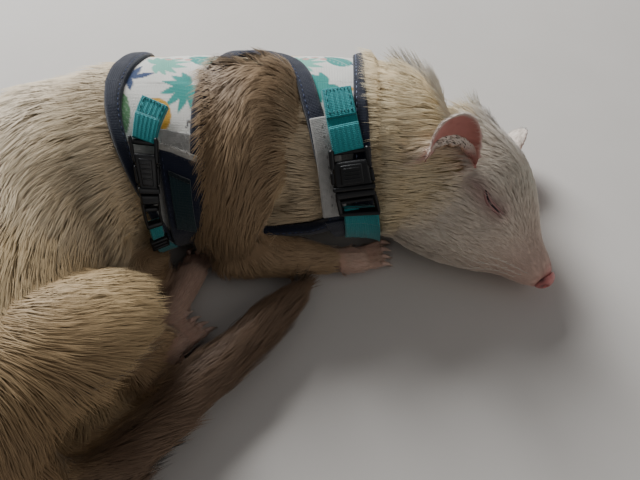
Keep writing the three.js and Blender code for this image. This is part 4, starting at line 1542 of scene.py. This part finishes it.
def mirrored(box):
    """The box and its mirror image across the middle."""
    x0, x1, *rest = box
    return [box, (-x1, -x0, *rest)]


# Buckle shapes as boxes: from and to in x across the middle, y along and z out, and the roundness
SOCKET = [
    (-6.0, 6.0, 5.2, 16.4, 4.4, 7.9, 1.3),
    (-3.6, 3.6, 6.8, 14.6, 7.2, 8.5, 0.55),
    (-6.7, 6.7, 15.2, 17.0, 4.2, 8.2, 0.6),
    (-5.8, 5.8, 0.9, 2.7, 5.0, 6.8, 0.85),
    *mirrored((5.0, 6.9, 0.2, 8.2, 4.2, 8.0, 0.8)),
    *mirrored((5.4, 7.0, 9.0, 14.4, 4.9, 7.4, 0.7)),
    *[(-2.6, 2.6, y, y + 0.55, 8.2, 8.75, 0.25) for y in (8.0, 9.4, 10.8, 12.2)],
]
PRONGS = [
    (-6.2, 6.2, 17.6, 21.0, 4.3, 7.7, 0.9),
    *mirrored((4.8, 6.4, 20.2, 30.0, 4.4, 7.2, 0.7)),
    (-5.2, 5.2, 22.4, 24.0, 4.6, 6.6, 0.75),
    (-6.2, 6.2, 28.2, 30.0, 4.4, 7.4, 0.8),
    *mirrored((2.6, 3.8, 15.6, 18.4, 5.6, 6.8, 0.4)),
]


# How long the socket is drawn, and where along y the prongs are drawn from and how long
SOCKET_LONG, PRONGS_FROM, PRONGS_LONG = 17.3, 17.5, 12.4


def make_buckle(name, boxes, route, stretch, offset, node):
    """The boxes laid along the route, stretched along it from the offset."""
    parts = Parts()
    for x0, x1, y0, y1, z0, z1, edge in boxes:
        y0, y1 = offset + y0 * stretch, offset + y1 * stretch
        edge = min(edge, (y1 - y0) * 0.45, (z1 - z0) * 0.45, (x1 - x0) * 0.45)
        verts, faces = rounded_box(x0, x1, y0, y1, z0, z1, edge)
        parts.add(route.place(*verts.T), faces, BLACK)
    parts.piece(name, PLASTIC, "black", node, sharp=38)


# The buckles' routes, and the angles at which a buckle's halves meet, it ends and the slider begins
GIRTH = [(123.6, 34), (125.5, 50), (127, 61.4), (128, 72), (128, 79), (127.5, 90), (127, 97)]
NECK = [(48.5, 42), (47.6, 54), (46.7, 64.4), (45.8, 72), (45, 79)]
GIRTH_JOIN, GIRTH_END, GIRTH_SLIDER = 61, 79.5, 90
NECK_JOIN, NECK_END = 63.7, 79


def make_prongs(name, route, join, end, node):
    """The half from where the halves meet to the buckle's end."""
    stretch = (end - join) / PRONGS_LONG
    make_buckle(name, PRONGS, route, stretch, join - PRONGS_FROM * stretch, node)


def make_buckles():
    girth, neck = Route(GIRTH), Route(NECK)
    join, end, slide = np.interp((GIRTH_JOIN, GIRTH_END, GIRTH_SLIDER), girth.spots[:, 1], girth.run)
    make_buckle("girth_socket", SOCKET, girth, join / SOCKET_LONG, 0, "buckle_girth_socket")
    make_prongs("girth_prongs", girth, join, end, "buckle_girth_prongs")
    slider = [
        *[(-6.8, 6.8, slide + k, slide + k + 1.2, 4.1, 6.9, 0.55) for k in (0, 1.7, 3.4)],
        *mirrored((5.4, 6.8, slide, slide + 4.6, 4.0, 6.9, 0.6)),
    ]
    make_buckle("girth_slider", slider, girth, 1, 0, "buckle_girth_slider")
    join, end = np.interp((NECK_JOIN, NECK_END), neck.spots[:, 1], neck.run)
    make_buckle("neck_socket", SOCKET, neck, join / SOCKET_LONG, 0, "buckle_neck_socket")
    make_prongs("neck_prongs", neck, join, end, "buckle_neck_prongs")


# The belly band's upper edge and its lining's are cut aslant: this far along for each step across
BAND_SKEW, LINING_SKEW = -0.3, -0.12


def make_closures():
    """The grey strip beside the neck strap, the belly band with its fuzzy edge, and the chest flap."""
    parts = Parts()
    speckled = mottled(GREY, 0.13, 1.2, 9)
    strip = Route([(57.8, 25), (54.6, 54), (52.8, 86)])
    band(parts, strip, flat_section(8.4, 3.1, 4.1, 19, 0.4), speckled, step=0.5, wave=0.1, seed=3)
    stitches(parts, strip, 0.4, 4.02, 1.5, strip.length - 1, srgb("8f8e8a"), 3.4, 1.3, 0.45)
    fuzz(parts, strip, (-4.0, 4.0), (0.3, strip.length - 0.3), 3.9, 1600, GREY * 1.05, 0.5)
    belly = Route([(109.5, 42), (110, 70), (110, 104), (109, 140)])
    lining = Route([(109, 31), (109.5, 46)])
    band(parts, lining, flat_section(15, 2.3, 2.9, 21, 0.3), speckled, 0, None, 0.5, 0.1, 4, LINING_SKEW)
    fuzz(parts, lining, (-7.2, 7.2), (0.2, lining.length), 2.85, 1500, GREY * 0.9, 0.45, LINING_SKEW)
    hem = flat_section(17, 2.8, 3.8, 23, 0.4)
    band(parts, belly, hem, srgb("e2dfd8"), -0.6, 1.5, 0.4, 0.12, 5, BAND_SKEW)
    fuzz(parts, belly, (-8.4, 8.4), (-1.1, 1.5), 3.5, 2600, srgb("e8e5de"), 1.0, BAND_SKEW)
    parts.piece("felt_closures", FELT, "felt", "closure_neck")
    cover = Parts()
    outside = flat_section(17, 3.2, 4.3, 23, 0.5)
    band(cover, belly, outside, srgb("151c30"), 0.9, None, 0.5, 0.3, 7, BAND_SKEW)
    under = Route([(109.5, 54), (110, 90)])
    # The strap over the belly band is a near-black teal, partly its own dark colour and partly painted
    # shade between the armhole and the buckle; its first 1.2 mm is darker still
    band(cover, under, webbing_section(10.4, 4.4, 5.5), srgb("0c1a20"), 0, 1.2, 0.3, 0.1, 9, BAND_SKEW)
    band(cover, under, webbing_section(10.4, 4.3, 5.2), srgb("102a30"), 1.2, None, 0.3, 0.1, 9, BAND_SKEW)
    flap = Route([(51.5, 90), (48.5, 116)])
    band(cover, flap, flat_section(9.5, 2.9, 4.3, 15, 0.6), TRIM, 0, None, 0.5, 0.25, 8)
    stitches(cover, belly, 6.9, 4.2, 1.0, belly.length - 1, srgb("2c3656"))
    cover.piece("belly_band", NAVY, "navy")


make_cloth()
make_bindings()
make_straps()
make_buckles()
make_closures()

# The floor and the light


FLOOR_HALF = 2.4


def make_stage():
    corners = np.array([(-1, -1, 0), (1, -1, 0), (1, 1, 0), (-1, 1, 0)]) * FLOOR_HALF
    floor = new_mesh("floor", corners, [(0, 1, 2, 3)])
    m = Nodes("floor", 0.8)
    soft = m.add("TexNoise", {"Vector": m.place()}, Scale=30.0, Detail=4.0)
    tone = m.add("ValToRGB", {"Fac": soft.outputs["Fac"]})
    tone.color_ramp.elements[0].color = (0.62, 0.59, 0.55, 1)
    tone.color_ramp.elements[1].color = (0.68, 0.65, 0.61, 1)
    m.link(tone.outputs["Color"], "Base Color")
    floor.data.materials.append(m.material)


def make_light(name, at, energy, size, colour):
    """A square light at the place, turned towards the middle of the floor."""
    data = bpy.data.lights.new(name, "AREA")
    data.energy = energy
    data.size = size
    data.color = colour
    light = placed(name, data)
    light.location = at
    light.rotation_euler = (-Vector(at)).to_track_quat("-Z", "Y").to_euler()


make_stage()
make_light("key", (-0.42, 0.78, 0.58), 20, 0.5, (0.98, 0.99, 1.0))
make_light("fill", (0.9, -0.6, 0.8), 1.5, 0.9, (1.0, 0.95, 0.9))
world = bpy.data.worlds.new("world")
bpy.context.scene.world = world
world.use_nodes = True
background = world.node_tree.nodes["Background"].inputs
background["Color"].default_value = (0.98, 0.97, 1.0, 1)
background["Strength"].default_value = 0.17
